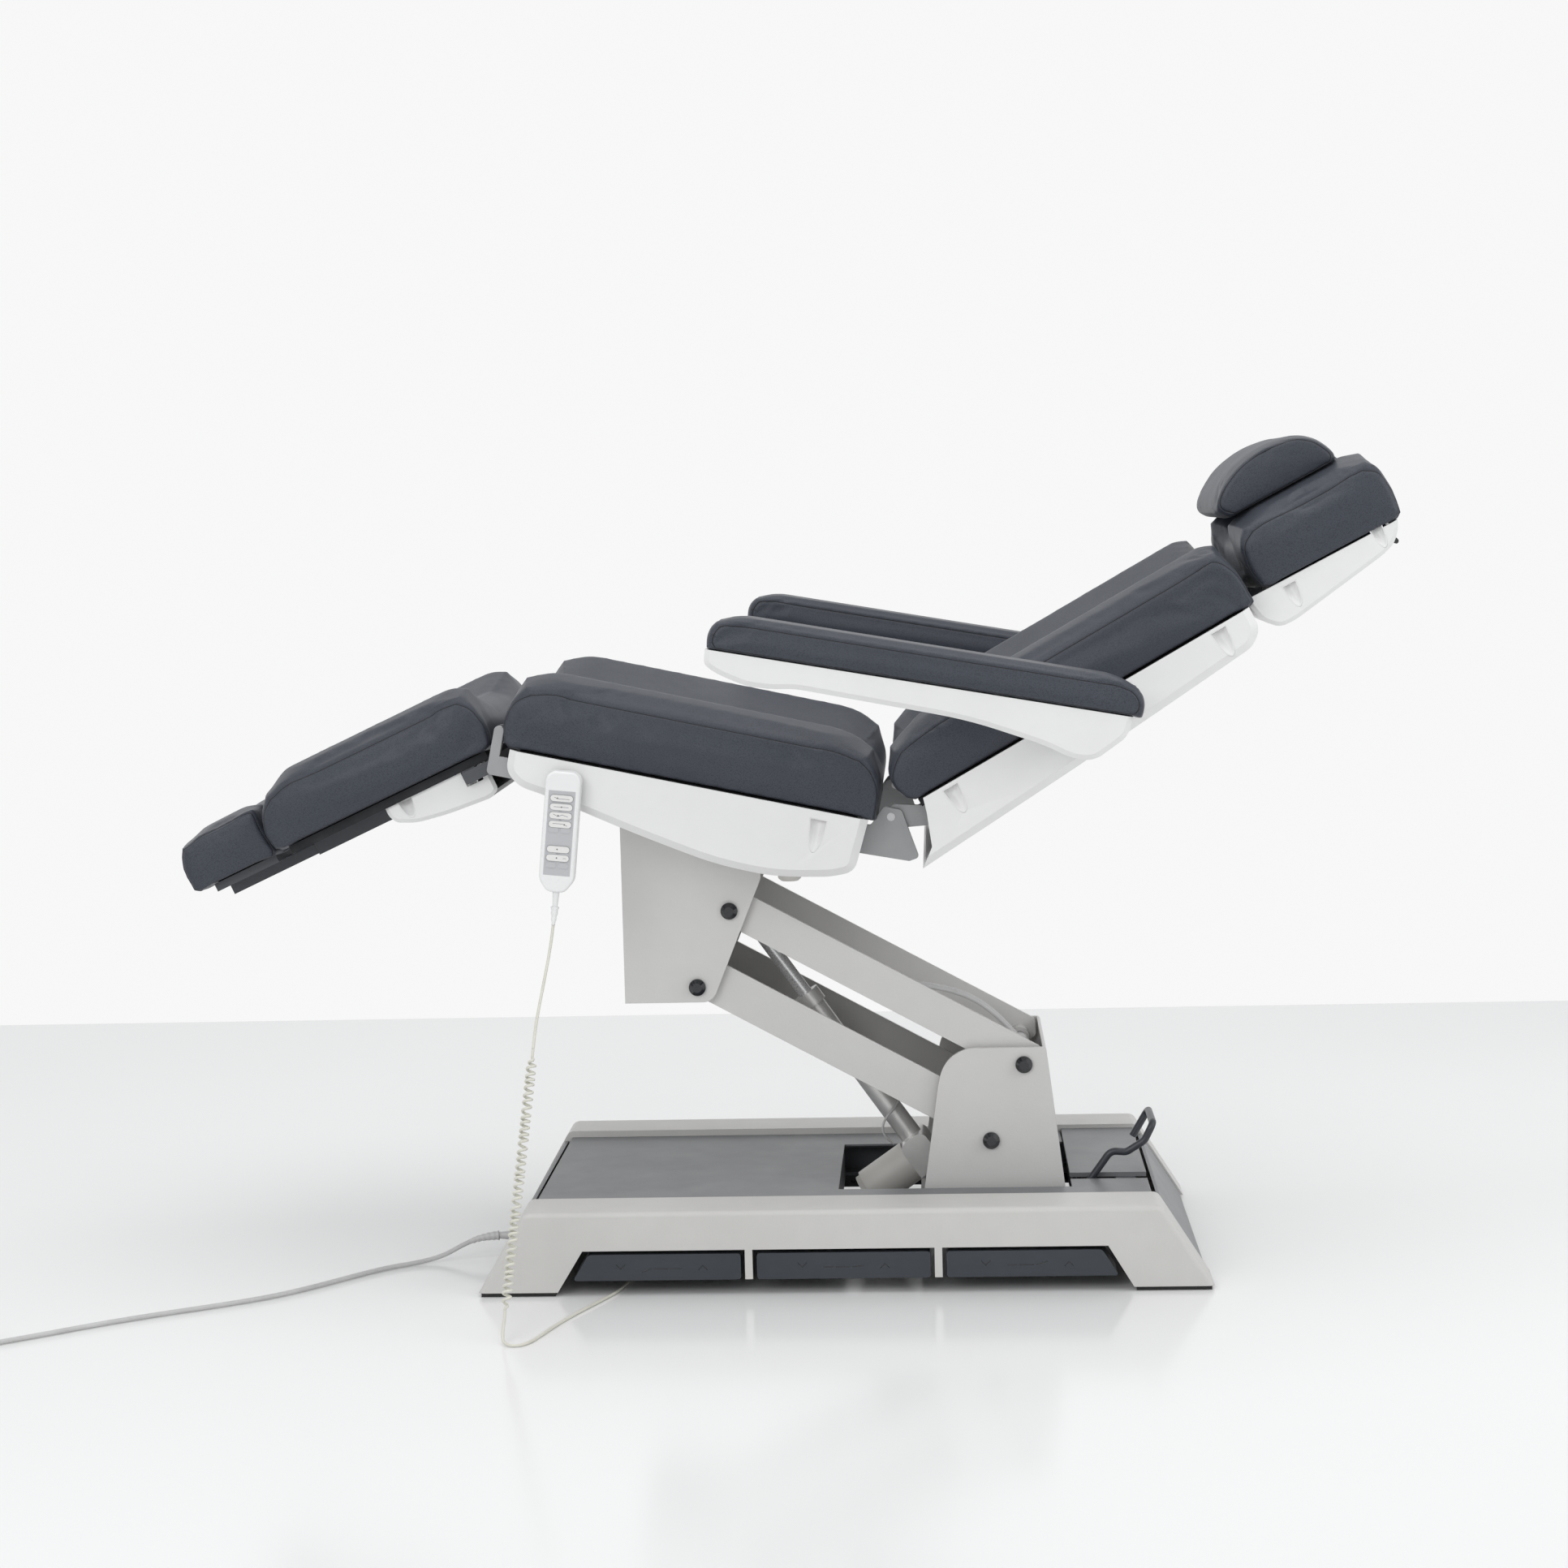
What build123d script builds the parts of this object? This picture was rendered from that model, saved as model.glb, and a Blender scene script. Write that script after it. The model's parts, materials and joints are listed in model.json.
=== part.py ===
from build123d import *
from math import atan2, cos, degrees, hypot, pi, radians, sin, sqrt, tan
import os

os.makedirs("parts", exist_ok=True)

# Treatment chair: a reclining couch on a parallelogram lift over a long base with foot pedals.
# Millimetres. +X to the head end, -Y to the side with the handset, +Z up, floor at 0.
# Side positions are read from the middle of the base, and each padded section is drawn level
# in its own frame, whose X runs along the section and whose Z runs out of its padding.

# Shared fits
overrun = 2.0
rest_gap = 0.3
running_fit = 0.05
sheet = 5.0
moulding_wall = 5.0
board_thickness = 12.0
corner_share = 0.45
quarter = 90.0

# Base
foot_height = 6.0
base_top = 123.0
base_floor_front = -454.0
base_floor_rear = 598.0
base_top_front = -386.0
base_top_rear = 524.0
base_half_width = 309.5
sill_inner = 225.0
sill_edge_radius = 8.0
sill_corner_radius = 14.0
arch_front = -339.0
arch_rear = 484.0
arch_top_front = -302.0
arch_top_rear = 448.0
arch_top = 66.0
tab_bottom = 23.0
foot_inset = 4.0
foot_inner = 236.0

# Pedals
pedal_top = 60.0
pedal_bottom = 22.0
pedal_depth = 56.0
pedal_set_back = 3.0
pedal_gap = 6.0
tab_width = 11.0
pedal_wall = 6.0
pedal_pin_radius = 4.0
pedal_pin_height = 42.0
switch_length = 50.0
switch_drop = 28.0
switch_rise = 18.0
chevron_reach = 59.0
chevron_width = 13.0
chevron_depth = 1.0
chevron_stroke = 2.4

# Chassis and deck
deck_sheet = 3.0
deck_drop = 10.0
rail_inner = 160.0
rail_width = 40.0
rail_height = 50.0
rail_front = -366.0
rail_rear = 503.0
cross_width = 30.0
mount_plate = 6.0
deck_side_gap = 0.3
lip_depth = 10.0
opening_front = 61.0
opening_half_width = 148.0
slot_edge = 100.0
panel_edge = 78.0
panel_front = 405.0
panel_rise = 4.0
end_panel_gap = 3.0

# Parallelogram lift
base_pin_upper = (338.0, 293.0)
base_pin_lower = (288.0, 180.0)
arm_length = 489.6
arm_rise = 28.8
pin_radius = 9.0
cap_radius = 12.5
cap_height = 11.0
bracket_half_width = 130.0
bracket_plate = 6.0
bracket_base_plate = 6.0
bracket_outline_foot = (181.0, 402.0)
bracket_shoulder = (211.0, 262.0)
bracket_top = (371.0, 318.0)
bracket_top_front = 224.0
bracket_corner = 54.0
bracket_rear_corner = 6.0
arm_half_width = 117.0
upper_arm_below = 22.0
upper_arm_above = 33.0
lower_arm_below = 14.0
lower_arm_above = 47.0
arm_end = 24.0
bush_radius = 15.0
actuator_notch = 112.0
slot_start = 196.0
slot_end = 326.0
slot_half_width = 34.0

# Head bracket under the seat
head_plate_front = -249.0
head_plate_bottom = 393.0
head_plate_foot = -143.0
head_plate_foot_rise = 24.0
head_plate_rear = (-43.0, 577.0)
head_plate_top = 684.0
head_corner = 22.0
tilt_pivot = (-150.0, 663.0)
tilt_pin_radius = 8.0
head_top_rear = -60.0
head_opening_rear = -28.0
head_opening_gap = 4.0

# Lift actuator
actuator_foot = (212.0, 98.0)
rod_radius = 11.0
tube_radius = 17.0
eye_radius = 19.0
eye_half_width = 14.0
open_pivot_play = 3.4
tube_share = 0.66
collar_radius = 21.0
collar_length = 22.0
motor_radius = 32.0
motor_length = 78.0
motor_place = 44.0
motor_step = 4.0
gearbox_length = 78.0
gearbox_half_width = 36.0

# Upholstered sections: places of the hinges and slopes at rest
knee = (-402.0, 813.0)
seat_slope = 12.3
hip = (152.0, 675.0)
back_slope = -29.3
neck = (662.0, 970.0)
head_slope = -27.0
leg_slope = -24.5
elbow = (410.0, 790.0)
arm_slope = 10.3

# Seat
seat_half_width = 284.0
seat_bottom = -22.0
seat_front = 12.0
seat_rear = 546.0
seat_crest = 92.0
seat_seam = 64.0
seat_valley = 62.0
seat_shell_half_width = 286.0
seat_rail_inner = 150.0
seat_rail_size = 30.0
seat_rail_front = 112.0
seat_rail_rear = 520.0
ear_inner = 228.0
ear_plate = 6.0

# Back
back_half_width = 284.0
back_bottom = 5.0
back_length = 590.0
back_crest = 108.0
back_seam = 84.0
back_valley = 76.0
back_shell_half_width = 286.0

# Head
head_half_width = 230.0
head_bottom = 3.0
head_crest = 112.0
head_seam = 84.0
head_valley = 84.0
pillow_half_width = 168.0

# Leg and foot
leg_half_width = 260.0
leg_bottom = -18.0
leg_crest = 88.0
leg_seam = 64.0
leg_valley = 60.0
foot_half_width = 233.0

# Armrests
arm_outer = 480.0
arm_inner = 382.0

# Base bracket and arm details
bracket_shoulder_radius = 20.0
bush_length = 30.0

# Foot lever and castors
lever_radius = 5.5
lever_shaft = (414.0, 80.0)
lever_bends = ((466.0, 152.0), (489.0, 150.0), (516.0, 167.0), (529.0, 193.0))
lever_bend_radii = (15.0, 15.0, 18.0, 10.0, 10.0)
lever_end = (505.0, 152.0)
lever_loop = 99.0
shaft_radius = 7.0
crank_reach = 58.0
crank_drop = 26.0
crank_half_width = 12.0
crank_plate = 6.0
castor_side = 118.0
castor_width = 26.0
castor_radius = 42.0
castor_axle_radius = 5.0

# Seat details
board_inset = 22.0
seat_shares = ((0.03, 0.0), (0.985, 0.0), (1.0, 0.42), (0.955, 0.84), (0.86, 0.985), (0.1, 1.0),
               (0.015, 0.8), (-0.008, 0.3))
seat_shell_front = 21.0
seat_shell_length = 519.0
seat_shell_depth = 106.0
seat_shell_shares = ((0.0, 0.0), (0.0, 0.3), (0.045, 0.47), (0.11, 0.51), (0.364, 0.78), (0.61, 0.985),
                     (0.777, 1.0),
                     (0.93, 0.85), (0.99, 0.72), (1.0, 0.0))
seat_shell_corner_shares = (0, 0.45, 0.45, 0.45, 0.45, 0.45, 0.45, 0.45, 0.4, 0)
shell_edge_radius = 16.0
shell_gap = 3.0
shell_mouth_rear = 66.0
shell_rear_slot = 60.0
lug_half_width = 16.0
lug_wall = 7.0
ear_overlap = 60.0
ear_nose = 38.0
hinge_boss = 13.0
hinge_pin_radius = 6.0
knee_boss = 7.0
knee_eye_share = 0.96
knee_plate = 6.0
knee_pin_radius = 4.0
knee_ear_inner = 262.0
leg_ear_inner = 239.0
leg_ear_heel = (-36.0, -50.0)
leg_ear_neck = (-34.0, -32.0)

# Handset
handset_width = 50.0
handset_length = 172.0
handset_depth = 22.0
handset_shares = ((0.0, 0.0), (1.0, 0.0), (1.0, 0.9), (0.75, 1.0), (0.25, 1.0), (0.0, 0.9))
handset_corner_share = 0.3
handset_top = (-305.0, 757.0)
handset_slope = 6.0
hook_depth = 6.0
relief_length = 22.0
relief_wall = 3.0
lead_radius = 2.1
keypad_border = 6.0
keypad_recess = 1.0
keypad_head_share = 0.16
keypad_foot_share = 0.86
key_row_shares = (0.1, 0.22, 0.34, 0.46, 0.76, 0.88)
key_width = 15.0
key_height = 8.0
key_rise = 0.6
key_spread_share = 1.16

# Back details
back_shares = ((0.05, 0.0), (0.985, 0.0), (1.0, 0.5), (0.975, 0.9), (0.94, 1.0), (0.2, 1.0), (0.06, 0.86),
               (0.0, 0.45))
back_front = 20.0
back_board_front = 48.0
back_shell_depth = 92.0
back_shell_shares = ((-0.06, 0.0), (-0.06, 0.98), (0.05, 0.93), (0.507, 0.765), (0.951, 0.55),
                     (0.985, 0.36), (0.988, 0.0))
back_shell_corner_shares = (0, 0.45, 0.4, 0.4, 0.45, 0.4, 0)
back_lip_shares = ((0.1, -0.1), (0.085, 0.22), (0.054, 0.72), (-0.01, 1.04), (-0.2, 1.1), (-0.2, -0.1))
back_rail_front = 40.0
back_rail_end = 40.0
back_rail_top = -8.0
back_rail_height = 30.0
back_rail_inner = 191.0
back_rail_width = 30.0
back_plate = 6.0
back_plate_length = 130.0
back_cross_places = (70.0, 430.0, 530.0)
elbow_radius = 10.0
elbow_reach = 34.0
shell_end_gap = 16.0

# Headrest details
head_shares = ((0.08, 0.0), (0.93, 0.0), (1.0, 0.3), (0.985, 0.86), (0.86, 1.0), (0.16, 0.98), (0.03, 0.82),
               (0.0, 0.3))
head_front = 24.0
head_length = 250.0
head_shell_length = 238.0
head_shell_depth = 58.0
head_shell_shares = ((0.0, 0.0), (0.0, 0.22), (0.02, 0.63), (0.1, 0.98), (0.2, 1.0), (0.83, 0.6),
                     (0.92, 0.48), (0.98, 0.2),
                     (1.0, 0.0))
head_shell_corner_shares = (0, 0.4, 0.4, 0.4, 0.4, 0.4, 0.4, 0.4, 0)
shell_step = 8.0
head_pivot_reach = 612.0
head_bar_height = -20.3
head_bar_radius = 6.0
head_bar_side = 70.0
head_bar_length = 195.0
head_tube_radius = 8.0
head_lug_side = 84.0
head_lug = 6.0
head_lug_length = 15.0
head_lug_drop = 13.0
head_mouth_half = 96.0
head_mouth_rear = 40.0
sleeve_radius = 9.5
release_place = (216.0, -8.0)
release_length = 16.0
release_drop = 20.0
release_side = 150.0
release_width = 28.0
release_shares = ((0.0, 0.0), (0.5, 0.0), (1.0, 1.0), (0.7, 1.2), (0.0, 0.55))
release_pin_share = 0.28
release_pin_radius = 2.0
release_lug = 4.0
pillow_front = 23.0
pillow_length = 186.0
pillow_bottom = 110.8
pillow_crest = 181.0
pillow_side_drop = 8.0
pillow_shares = ((0.1, 0.0), (0.98, 0.02), (1.0, 0.2), (0.93, 0.62), (0.8, 0.9), (0.53, 1.0), (0.3, 0.9),
                 (0.1, 0.62),
                 (0.0, 0.3))

# Leg and foot details
leg_shares = ((0.04, 0.0), (0.95, 0.0), (1.0, 0.3), (0.975, 0.8), (0.9, 0.98), (0.14, 0.98), (0.02, 0.72),
              (-0.01, 0.3))
leg_front = -366.0
leg_rear = -14.0
leg_shell_front = -206.0
leg_shell_length = 162.0
leg_shell_depth = 52.0
leg_shell_shares = ((0.0, 0.0), (0.0, 0.25), (0.04, 0.48), (0.2, 0.72), (0.48, 0.88), (0.9, 1.0),
                    (1.0, 0.9), (1.0, 0.0))
leg_shell_corner_shares = (0, 0.4, 0.4, 0.4, 0.4, 0.4, 0.4, 0)
leg_shell_inset = 27.0
leg_rail_size = 20.0
leg_rail_side = 120.0
leg_rail_rear = -60.0
leg_bore_rear = -70.0
foot_bar_wall = 2.0
foot_bar_gap = 0.3
foot_bar_rear = -90.0
foot_front = -508.0
foot_rear = -374.0
foot_crest = 56.0
foot_side_drop = 10.0
foot_shares = ((0.1, 0.0), (0.97, 0.0), (1.0, 0.4), (0.98, 0.92), (0.85, 1.0), (0.3, 0.98), (0.06, 0.78),
               (0.0, 0.4))

# Armrest details
arm_pad_front = -518.0
arm_pad_length = 597.0
arm_pad_bottom = 52.0
arm_pad_top = 102.0
arm_pad_drop = 10.0
arm_pad_shares = ((0.01, 0.0), (0.99, 0.0), (1.0, 0.35), (0.985, 0.75), (0.94, 1.0), (0.06, 1.0),
                  (0.01, 0.8), (0.0, 0.3))
arm_shell_length = 588.0
arm_shell_depth = 68.0
arm_shell_shares = ((0.003, 0.0), (0.005, 0.3), (0.03, 0.42), (0.06, 0.5), (0.11, 0.6), (0.17, 0.58),
                    (0.22, 0.5),
                    (0.62, 0.57), (0.8, 0.82), (0.87, 1.0), (0.92, 0.97), (0.985, 0.4), (0.99, 0.0))
arm_shell_corner_shares = (0, 0.4, 0.4, 0.4, 0.4, 0.4, 0.4, 0.4, 0.4, 0.45, 0.45, 0.4, 0)
arm_shell_inset = 4.0
arm_shell_radius = 10.0
elbow_boss = 15.0
arm_boss_near = 2.0
arm_strap = 6.0
arm_strap_front = -430.0
arm_strap_half = 15.0
arm_post = 10.0

# Cords: routes are places along X, Y and Z, chosen by hand
mains_radius = 3.5
mains_route = (
    (-456.0, -87.0, 34.0), (-481.0, -90.0, 33.0), (-508.0, -98.0, 24.0), (-538.0, -110.0, 9.0),
    (-572.0, -126.0, 3.8), (-614.0, -152.0, 3.8), (-655.0, -196.0, 3.8), (-700.0, -250.0, 3.8),
    (-752.0, -303.0, 3.8), (-820.0, -347.0, 3.8), (-900.0, -391.0, 3.8), (-975.0, -439.0, 3.8),
    (-1040.0, -488.0, 3.8), (-1092.0, -524.0, 3.8), (-1128.0, -549.0, 3.8),
)
mains_coil_radius = 62.0
mains_coil_pitch = 7.8
mains_coil_layer = 7.4
mains_coil_turns = 4
mains_coil_quarters = 29
mains_tail = ((-1224.0, -509.5, 13.0), (-1243.0, -492.0, 16.0), (-1268.0, -483.5, 18.5),
              (-1294.0, -483.5, 18.5))
plug_radius = 18.0
plug_length = 42.0
plug_neck = 12.0
plug_pin_radius = 2.4
plug_pin_length = 19.0
plug_pin_side = 9.5
gland_radius = 8.0
lead_upper_route = (
    (-325.3, -303.3, 564.0), (-327.4, -304.5, 546.0), (-330.5, -310.0, 520.0), (-335.5, -323.0, 488.0),
    (-341.0, -340.0, 456.0), (-345.8, -356.0, 428.0), (-349.5, -371.0, 402.8), (-351.9, -381.6, 375.8),
)
curl_axis = ((-352.0, -382.0, 375.0), (-383.7, -518.4, 34.0))
curl_radius = 5.4
curl_count = 36
curl_ramp = 1.5
cord_sides = 6
turn_step_share = 0.01
straight_share = 1e-9
lead_lower_route = (
    (-383.7, -518.4, 34.0), (-384.8, -523.2, 22.0), (-385.5, -532.0, 11.0), (-383.0, -544.0, 4.0),
    (-374.0, -553.0, 2.4), (-361.0, -554.5, 2.4), (-349.0, -543.0, 2.4), (-340.0, -518.0, 2.4),
    (-330.0, -484.0, 2.4), (-316.0, -440.0, 2.4), (-297.0, -392.0, 2.4), (-275.0, -342.0, 2.4),
    (-257.0, -300.0, 2.4), (-247.0, -262.0, 2.4), (-242.0, -226.0, 3.2), (-240.0, -199.0, 9.0),
    (-240.0, -182.0, 24.0), (-240.0, -180.0, 46.0),
)

# Shares that shape soft and moulded pieces
edge_middle_share = 0.5
crown_share = 0.55
cushion_corner_share = 0.42
edge_share = 0.965
crest_share = 0.74
head_crest_share = 0.55
channel_place_share = 0.34
shoulder_share = 0.55
edge_draw_share = 0.35
rise_draw_share = 0.5
tab_place_shares = (0.318, 0.679)
pedal_corner_share = 0.12
nose_share = 0.45
bevel_share = 0.7
gearbox_corner_share = 0.3
rod_start_share = 0.6
side_draw = 12.0
bend_share = 0.45
faceted_share = 0.9


def spot(along, rise, side=0):
    """A point from its place along X, its height and its place along Y."""
    return Vector(along, side, rise)


def corner_radii(points, shares):
    """The fillet at each corner, as a share of the most that its two runs allow."""
    radii = []
    for index, point in enumerate(points):
        before = point - points[index - 1]
        after = points[(index + 1) % len(points)] - point
        turn = radians(before.get_angle(after))
        radii.append(shares[index] * min(before.length, after.length) / tan(turn / 2))
    return radii


def within(origin, slope, place):
    """A place in the chair's side view, given in a section's own frame."""
    along, rise = place[0] - origin[0], place[1] - origin[1]
    angle = radians(slope)
    return (along * cos(angle) - rise * sin(angle), along * sin(angle) + rise * cos(angle))


def outline(points, shares=corner_share):
    """A closed face through the points of a side view, with rounded corners."""
    places = [spot(*point) for point in points]
    if not hasattr(shares, "__len__"):
        shares = [shares] * len(places)
    return make_face(FilletPolyline(*places, radius=corner_radii(places, shares), close=True))


def filleted(points, radii):
    """A closed face through the points, with a radius given for each corner."""
    return make_face(FilletPolyline(*[spot(*point) for point in points], radius=radii, close=True))


def sharp(points):
    """A closed face through the points, with sharp corners."""
    return make_face(Polyline(*[spot(*point) for point in points], close=True))


def slab(face, near, far):
    """The face of a side view made solid from one side position to another."""
    return Pos(0, near, 0) * extrude(face, amount=far - near, dir=(0, 1, 0))


def brick(front, rear, near, far, low, high):
    """A box between limits along X, Y and Z."""
    middle = Pos((front + rear) / 2, (near + far) / 2, (low + high) / 2)
    return middle * Box(rear - front, far - near, high - low)


def crossbar(place, radius, near, far):
    """A round bar along Y through a place in the side view."""
    middle = Pos(place[0], (near + far) / 2, place[1])
    return middle * Rot(90, 0, 0) * Cylinder(radius, far - near)


def both_sides(solid):
    """The solid and its mirror image across the middle of the base."""
    return [solid, mirror(solid, about=Plane.XZ)]


def joined(solids):
    """One solid fused from several."""
    whole = solids[0]
    for solid in solids[1:]:
        whole = whole + solid
    return whole


def save(name, solids, place=None):
    """Write a sub-part from one solid or several, moved to its place in the chair."""
    solids = solids if isinstance(solids, list) else [solids]
    loose = []
    for solid in solids:
        moved = place * solid if place is not None else solid
        loose.extend(moved.solids())
    export_step(Compound(loose), f"parts/{name}.step")


def frame_at(origin, slope):
    """The frame of a padded section: its origin and its slope down towards +X."""
    return Pos(origin[0], 0, origin[1]) * Rot(0, slope, 0)


def turned(origin, slope, along, rise):
    """A place in a section's frame, given in the chair's side view."""
    angle = radians(slope)
    return (
        origin[0] + along * cos(angle) + rise * sin(angle),
        origin[1] - along * sin(angle) + rise * cos(angle),
    )


def stretched(shares, front, length, low, height):
    """The points of an outline from its shares of a length and a height."""
    return [(front + length * along, low + height * rise) for along, rise in shares]


def cushion(shares, front, length, low, half_width, heights, crest_place_share=crest_share):
    """A cushion lofted from side to side through outlines that follow its bolsters.

    The heights are those of the side seam, the bolster's crest and the middle channel. The
    outermost outlines are drawn in all round, so the sides swell between seam and underside.
    """
    seam, crest, valley = heights
    shoulder = seam + (crest - seam) * shoulder_share
    stations = [(1, side_draw, seam), (edge_share, side_draw * edge_draw_share, shoulder)]
    stations += [(crest_place_share, 0, crest), (channel_place_share, 0, valley)]
    stations += [(-share, draw, top) for share, draw, top in stations[::-1]]
    sections = []
    for share, draw, top in stations:
        rising = draw * rise_draw_share
        points = stretched(shares, front + draw, length - 2 * draw, low + rising, top - low - rising)
        corners = [0 if rise == 0 else cushion_corner_share for along, rise in shares]
        sections.append(Pos(0, half_width * share, 0) * outline(points, corners))
    return loft(sections, ruled=True)


def tray(points, shares, half_width, edge_radius, wall):
    """An open-topped moulding: an outline made solid, its lower edges rounded, then hollowed."""
    face = outline(points, shares)
    rim = max(rise for along, rise in points)
    block = slab(face, -half_width, half_width)
    hollow = slab(offset(face, amount=-wall), wall - half_width, half_width - wall)
    block = soft_edges(block, half_width, edge_radius, rim)
    if edge_radius > wall * 2:
        hollow = soft_edges(hollow, half_width - wall, edge_radius - wall, rim - wall)
    for lift in (0, wall + overrun):
        block = block - Pos(0, 0, lift) * hollow
    return block


def soft_edges(block, half_width, radius, rim):
    """Bevel the long edges of a block where it meets its two sides, below its rim."""
    chosen = []
    for edge in block.edges():
        middle = edge.position_at(edge_middle_share)
        if abs(abs(middle.Y) - half_width) < rest_gap and middle.Z < rim - rest_gap:
            chosen.append(edge)
    return chamfer(chosen, radius * bevel_share)


def cap(place, side, radius, height):
    """A turned cap whose flat back sits at a side position and whose crown points away."""
    outward = 1 if side > 0 else -1
    rim = side + outward * height * (1 - crown_share)
    top = side + outward * height
    profile = Polyline((0, side), (radius, side), (radius, rim), (radius * crown_share, top), (0, top),
                       close=True)
    return Pos(place[0], 0, place[1]) * revolve(make_face(profile), Axis.Y)


def tube_run(points, radius, bends):
    """A round bar along straight runs joined by bends of the given radii."""
    path = FilletPolyline(*[Vector(*point) for point in points], radius=bends)
    section = Plane(origin=path @ 0, z_dir=path % 0) * Circle(radius)
    return sweep(section, path=path)


def cord_run(name, route, radius):
    """A cord's tube: straight runs joined by tangent arcs as large as the runs allow."""
    places = [Vector(*point) for point in route]
    radii = []
    for before, place, after in zip(places, places[1:], places[2:]):
        turn = radians((place - before).get_angle(after - place))
        radii.append(bend_share * min((place - before).length, (after - place).length) / tan(turn / 2))
    path = FilletPolyline(*places, radius=radii)
    section = RegularPolygon(radius, cord_sides, major_radius=False)
    body = sweep(Plane(origin=path @ 0, z_dir=path % 0) * section, path=path, clean=False)
    print(name, "length", round(path.length), "radii", [round(bend) for bend in radii],
          "volume share", round(body.volume / (section.area * path.length), 3))
    return body


def wound(name, places, ways, width, step):
    """One unbroken square tube through places and their directions, as pairs of tangent arcs.

    Its least gap to itself is measured between places at least step apart along it.
    """
    arcs = []
    for start, end, leave, arrive in zip(places, places[1:], ways, ways[1:]):
        span = end - start
        onward = span.dot(leave + arrive)
        spread = 2 * (1 - leave.dot(arrive))
        if spread < straight_share:
            arcs.append(Edge.make_line(start, end))
            continue
        reach = (sqrt(onward**2 + spread * span.dot(span)) - onward) / spread
        first = start + leave * reach
        last = end - arrive * reach
        middle = (first + last) / 2
        arcs.append(Edge.make_tangent_arc(start, leave, middle))
        arcs.append(Edge.make_tangent_arc(middle, last - first, end))
    path = Wire(arcs)
    upright = Plane(origin=path @ 0, x_dir=(path % 0).cross(Vector(0, 1, 0)).cross(path % 0), z_dir=path % 0)
    body = sweep(upright * Rectangle(width, width), path=path, clean=False)
    gaps = []
    for number, place in enumerate(places):
        for other in places[number + step:]:
            apart = other - place
            gaps.append(max(hypot(apart.X, apart.Y), abs(apart.Z)) - width)
    print(name, "length", round(path.length), "least gap", round(min(gaps), 2),
          "volume share", round(body.volume / (width**2 * path.length), 3))
    return body


def curly_cord():
    """The handset's curly cord: a helix round a straight line, with its ends led in to the line."""
    top, foot = [Vector(*end) for end in curl_axis]
    along = (foot - top).normalized()
    across = along.cross(Vector(0, 0, 1)).normalized()
    third = along.cross(across)
    width = lead_radius * 2 * faceted_share
    reach = (foot - top).length - 2 * width

    def curl(turns):
        spread = curl_radius * max(min(1, turns / curl_ramp, (curl_count - turns) / curl_ramp), 0)
        swung = across * spread * cos(2 * pi * turns) + third * spread * sin(2 * pi * turns)
        return top + along * (width + reach * turns / curl_count) + swung

    turns = [number / 2 for number in range(1, curl_count * 2)]
    places = [curl(turn) for turn in turns]
    ways = [(curl(turn + turn_step_share) - curl(turn - turn_step_share)).normalized() for turn in turns]
    return wound("curly_cord", [top, curl(0)] + places + [curl(curl_count), foot],
                 [along, along] + ways + [along, along], width, 2)


def mains_coil():
    """The lead's put-away length: turns that spiral in, climb a layer and spiral out to the plug."""
    start, before = Vector(*mains_route[-1]), Vector(*mains_route[-2])
    along = (start - before).normalized()
    inward = Vector(along.Y, -along.X, 0)
    centre = start + inward * mains_coil_radius
    inner = mains_coil_radius - mains_coil_pitch * mains_coil_turns

    def loop(turns):
        spread = inner + mains_coil_pitch * abs(mains_coil_turns - turns)
        climb = min(max((turns - mains_coil_turns) * 2 + 1 / 2, 0), 1)
        swung = along * spread * sin(2 * pi * turns) - inward * spread * cos(2 * pi * turns)
        return centre + swung + Vector(0, 0, mains_coil_layer * climb)

    turns = [number / 4 for number in range(1, mains_coil_quarters + 1)]
    tail = [Vector(*point) for point in mains_tail]
    ways = [(loop(turn + turn_step_share) - loop(turn - turn_step_share)).normalized() for turn in turns]
    ways += [(after - before).normalized() for before, after in zip([loop(turns[-1])] + tail, tail[1:])]
    return wound("mains_coil", [start] + [loop(turn) for turn in turns] + tail,
                 [along] + ways + [(tail[-1] - tail[-2]).normalized()], mains_radius * 2 * faceted_share, 3)


def mains_plug():
    """A plain round plug lying on the floor, its neck towards the coil."""
    end = Vector(*mains_tail[-1])
    profile = Polyline((0, 0), (mains_radius * 2, 0), (plug_radius, plug_neck), (plug_radius, plug_length),
                       (0, plug_length), close=True)
    body = revolve(make_face(profile), Axis.Y)
    for side in (-plug_pin_side, plug_pin_side):
        body = body + Pos(side, plug_length + plug_pin_length / 2, 0) * Rot(quarter, 0, 0) * Cylinder(
            plug_pin_radius, plug_pin_length)
    return Pos(end.X, end.Y, end.Z) * Rot(0, 0, quarter) * body


def panel_face(height):
    """The place along X of the front end panel's outer face at a height."""
    lean = (base_top_front - base_floor_front) / (base_top - foot_height)
    return base_floor_front + lean * (height - foot_height) + end_panel_gap


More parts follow.
